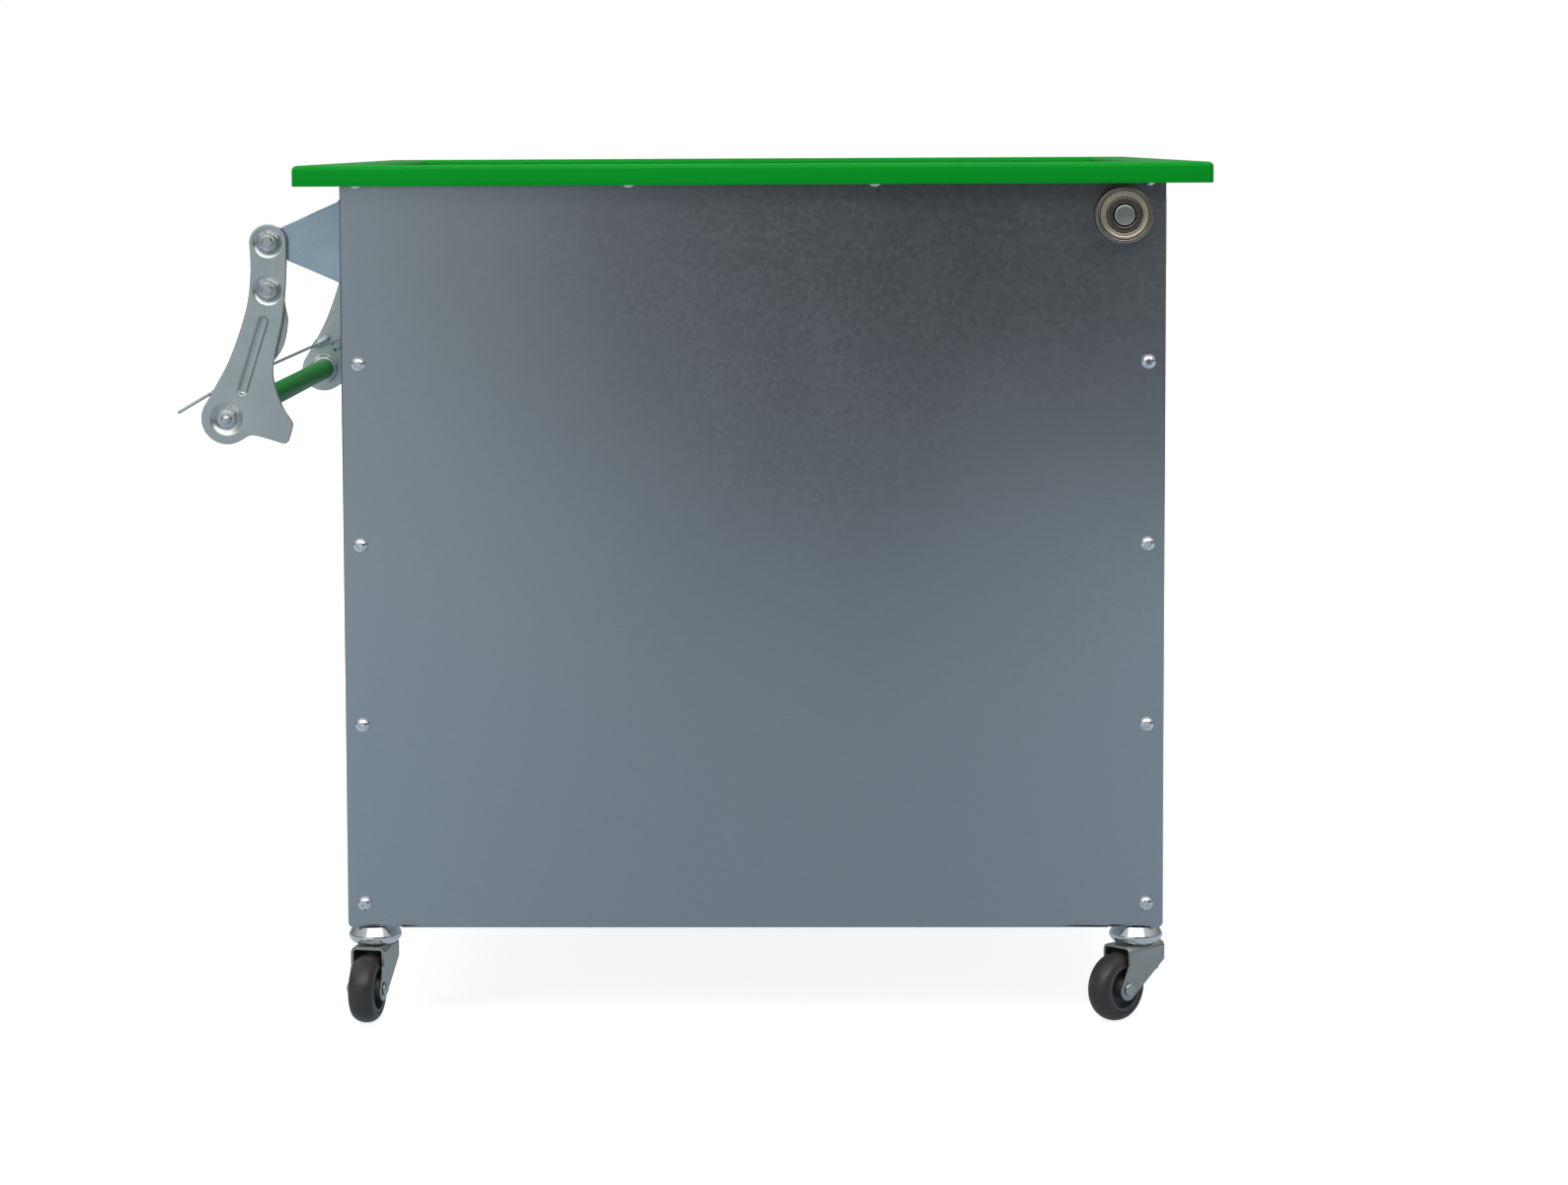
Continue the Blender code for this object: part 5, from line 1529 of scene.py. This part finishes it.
def build_card(stage):
    """A card behind the camera, dark in its upper right part, and a bright window over it."""
    def shaded(shading):
        across = shading.part(shading.point(), "X")
        up = shading.part(shading.point(), "Z")
        corner = shading.span(across, *DARK_RIGHT) * shading.span(up, *DARK_UPPER)
        beside = shading.span(shading.away_from(across, DARK_MIDDLE), *TONGUE_ACROSS)
        tongue = (1.0 - beside) * shading.span(up, *TONGUE_UP)
        dark = shading.node("ShaderNodeMath", {"operation": "MAXIMUM"}, {0: corner, 1: tongue})
        colour = shading.mixed(dark, (*stage.card_light, 1.0), (*stage.card_dark, 1.0))
        return {"Color": colour, "Strength": 1.0}

    def bright(shading):
        pane = shading.span(shading.cloud(1.5, 1.0), 0.2, 0.8)
        return {"Color": shading.mixed(pane, PALE_BLUE, WHITE), "Strength": stage.window}

    top = stage.card_height
    mirrored_board("dark_card", stage.card_width, (0.0, top), stage, shaded)
    mirrored_board("bright_window", stage.window_width, (top, top + stage.window_height), stage, bright)


def build_camera(stage):
    """The camera, turned to the left, tilted down and rolled."""
    data = bpy.data.cameras.new("camera")
    data.lens = stage.lens
    data.shift_x = stage.shift[0]
    data.shift_y = stage.shift[1]
    camera = linked("camera", data)
    aim = Matrix.Rotation(stage.yaw, 4, "Z") @ Matrix.Rotation(math.pi / 2 - stage.pitch, 4, "X")
    camera.matrix_world = Matrix.Translation(stage.camera) @ aim @ Matrix.Rotation(-stage.roll, 4, "Z")
    bpy.context.scene.camera = camera


# Operators


class BIN_OT_finishes(bpy.types.Operator):
    """Makes the bin's materials and dresses the nodes that stay as they are"""

    bl_idname = "collecting_bin.finishes"
    bl_label = "Finishes"

    def execute(self, context):
        finish = context.scene.collecting_bin.finish
        FINISHES.update({
            "galvanised_sheet": galvanised_sheet(finish.sheet),
            "powder_coat": powder_coat(finish.paint, "powder_coat", rough=0.32, shine=0.15, ior=1.3),
            "tube_coat": powder_coat(finish.tube, "tube_coat", rough=0.30, shine=0.1, ior=1.15),
            "zinc_plate": zinc_plate(finish.zinc, "zinc_plate"),
            # bracket_plate is the zinc plate with a painted bluish reflection
            "bracket_plate": zinc_plate(finish.bracket_with_painted_blue, "bracket_plate"),
            "bright_steel": bright_steel(finish.steel),
            "chrome": clouded_metal(finish.chrome, "chrome", 1.0, (120.0, 3.0), 0.03, (0.15, 0.05)),
            "pressed_steel": pressed_steel(finish.fork),
            "tyre_rubber": tyre_rubber(finish.rubber),
            "hub_plastic": hub_plastic(finish.hub),
        })
        # bearing_race is darker than bearing_ring by a painted dark reflection
        bearing = (("bearing_shield", finish.shield, 0.6), ("bearing_ring", finish.ring, 0.9),
                   ("bearing_race", finish.race_painted_dark, 0.9))
        for name, colour, metallic in bearing:
            FINISHES[name] = clouded_metal(colour, name, metallic, (160.0, 4.0), 0.10, (0.25, 0.08))
        for place in SIDES:
            materials = frame["nodes"][f"bearing_{place}_ball_cage"].data.materials
            materials.clear()
            materials.append(FINISHES["bright_steel"])
        return {"FINISHED"}


class BIN_OT_box(bpy.types.Operator):
    """Builds the panels, the walls and the floor sheet"""

    bl_idname = "collecting_bin.box"
    bl_label = "Sheet metal box"

    def execute(self, context):
        build_sheet_metal()
        return {"FINISHED"}


class BIN_OT_rim(bpy.types.Operator):
    """Builds the folded green rim"""

    bl_idname = "collecting_bin.rim"
    bl_label = "Rim"

    def execute(self, context):
        build_rim(context.scene.collecting_bin.rim)
        return {"FINISHED"}


class BIN_OT_screws(bpy.types.Operator):
    """Sets the small screws on the panels, under the floor and on the brackets"""

    bl_idname = "collecting_bin.screws"
    bl_label = "Screws"

    def execute(self, context):
        build_screws(context.scene.collecting_bin.screw)
        return {"FINISHED"}


class BIN_OT_rollers(bpy.types.Operator):
    """Builds the two guide rollers"""

    bl_idname = "collecting_bin.rollers"
    bl_label = "Guide rollers"

    def execute(self, context):
        for place, side in SIDES.items():
            build_roller(place, side, context.scene.collecting_bin.roller)
        return {"FINISHED"}


class BIN_OT_handle(bpy.types.Operator):
    """Builds the handle: brackets, pressed arms, grip tube, bolts and nuts"""

    bl_idname = "collecting_bin.handle"
    bl_label = "Handle"

    def execute(self, context):
        handle = context.scene.collecting_bin.handle
        link_face = -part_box("handle_bracket_near")[0].y
        grip = PIVOT + Vector((GRIP[0], 0.0, GRIP[1]))
        for place, side in SIDES.items():
            node = f"handle_bracket_{place}"
            softened_copy(f"bracket_plate_{place}", node, "bracket_plate", BRACKET_EDGE)
            build_arm(place, side, handle)
            build_bolt_and_nut("pivot", place, side, PIVOT, link_face, handle)
        rod = 2 * NUT_SEAT
        build_domed_nut("grip_domed_bolt", "handle_grip_bolt", SIDES["near"], grip, handle, rod)
        build_domed_nut("grip_domed_nut", "handle_cap_nut", SIDES["far"], grip, handle)
        build_tube(handle)
        return {"FINISHED"}


class BIN_OT_latch(bpy.types.Operator):
    """Builds the latch: hooks, their bolts, the trigger wire and its sleeve"""

    bl_idname = "collecting_bin.latch"
    bl_label = "Latch"

    def execute(self, context):
        handle = context.scene.collecting_bin.handle
        link_face = -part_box("latch_hook_near")[0].y
        for place, side in SIDES.items():
            build_hook(place, side, link_face, handle)
            build_bolt_and_nut("latch", place, side, LATCH, link_face, handle)
        build_wire(handle)
        return {"FINISHED"}


class BIN_OT_castors(bpy.types.Operator):
    """Builds the four swivel castors"""

    bl_idname = "collecting_bin.castors"
    bl_label = "Castors"

    def execute(self, context):
        for corner in CORNERS:
            build_castor(corner, context.scene.collecting_bin.castor)
        return {"FINISHED"}


class BIN_OT_stage(bpy.types.Operator):
    """Sets the floor, the light and the camera"""

    bl_idname = "collecting_bin.stage"
    bl_label = "Stage"

    def execute(self, context):
        stage = context.scene.collecting_bin.stage
        build_floor(stage)
        build_world(stage)
        build_card(stage)
        build_lamp("overhead", (0.2, -1.2, 3.4), power=60.0, width=3.0)
        build_lamp("left_fill", (-3.0, -2.2, 1.9), power=30.0, width=1.8)
        build_camera(stage)
        context.scene.view_settings.view_transform = "Standard"
        return {"FINISHED"}


STEPS = (
    BIN_OT_finishes, BIN_OT_box, BIN_OT_rim, BIN_OT_screws, BIN_OT_rollers, BIN_OT_handle, BIN_OT_latch,
    BIN_OT_castors, BIN_OT_stage,
)


class BIN_PT_sidebar(bpy.types.Panel):
    """Lists the steps that build the bin"""

    bl_idname = "BIN_PT_sidebar"
    bl_label = "Collecting Bin"
    bl_space_type = "VIEW_3D"
    bl_region_type = "UI"
    bl_category = "Bin"

    def draw(self, context):
        for step in STEPS:
            self.layout.operator(step.bl_idname)


CLASSES = (
    BinFinishSettings, BinRimSettings, BinScrewSettings, BinRollerSettings, BinHandleSettings,
    BinCastorSettings, BinStageSettings, CollectingBinSettings, *STEPS, BIN_PT_sidebar,
)


def register():
    for kind in CLASSES:
        bpy.utils.register_class(kind)
    bpy.types.Scene.collecting_bin = section("Collecting bin", CollectingBinSettings)


def unregister():
    del bpy.types.Scene.collecting_bin
    for kind in reversed(CLASSES):
        bpy.utils.unregister_class(kind)


def main():
    register()
    for step in STEPS:
        group, name = step.bl_idname.split(".")
        getattr(getattr(bpy.ops, group), name)()


if __name__ == "__main__":
    main()
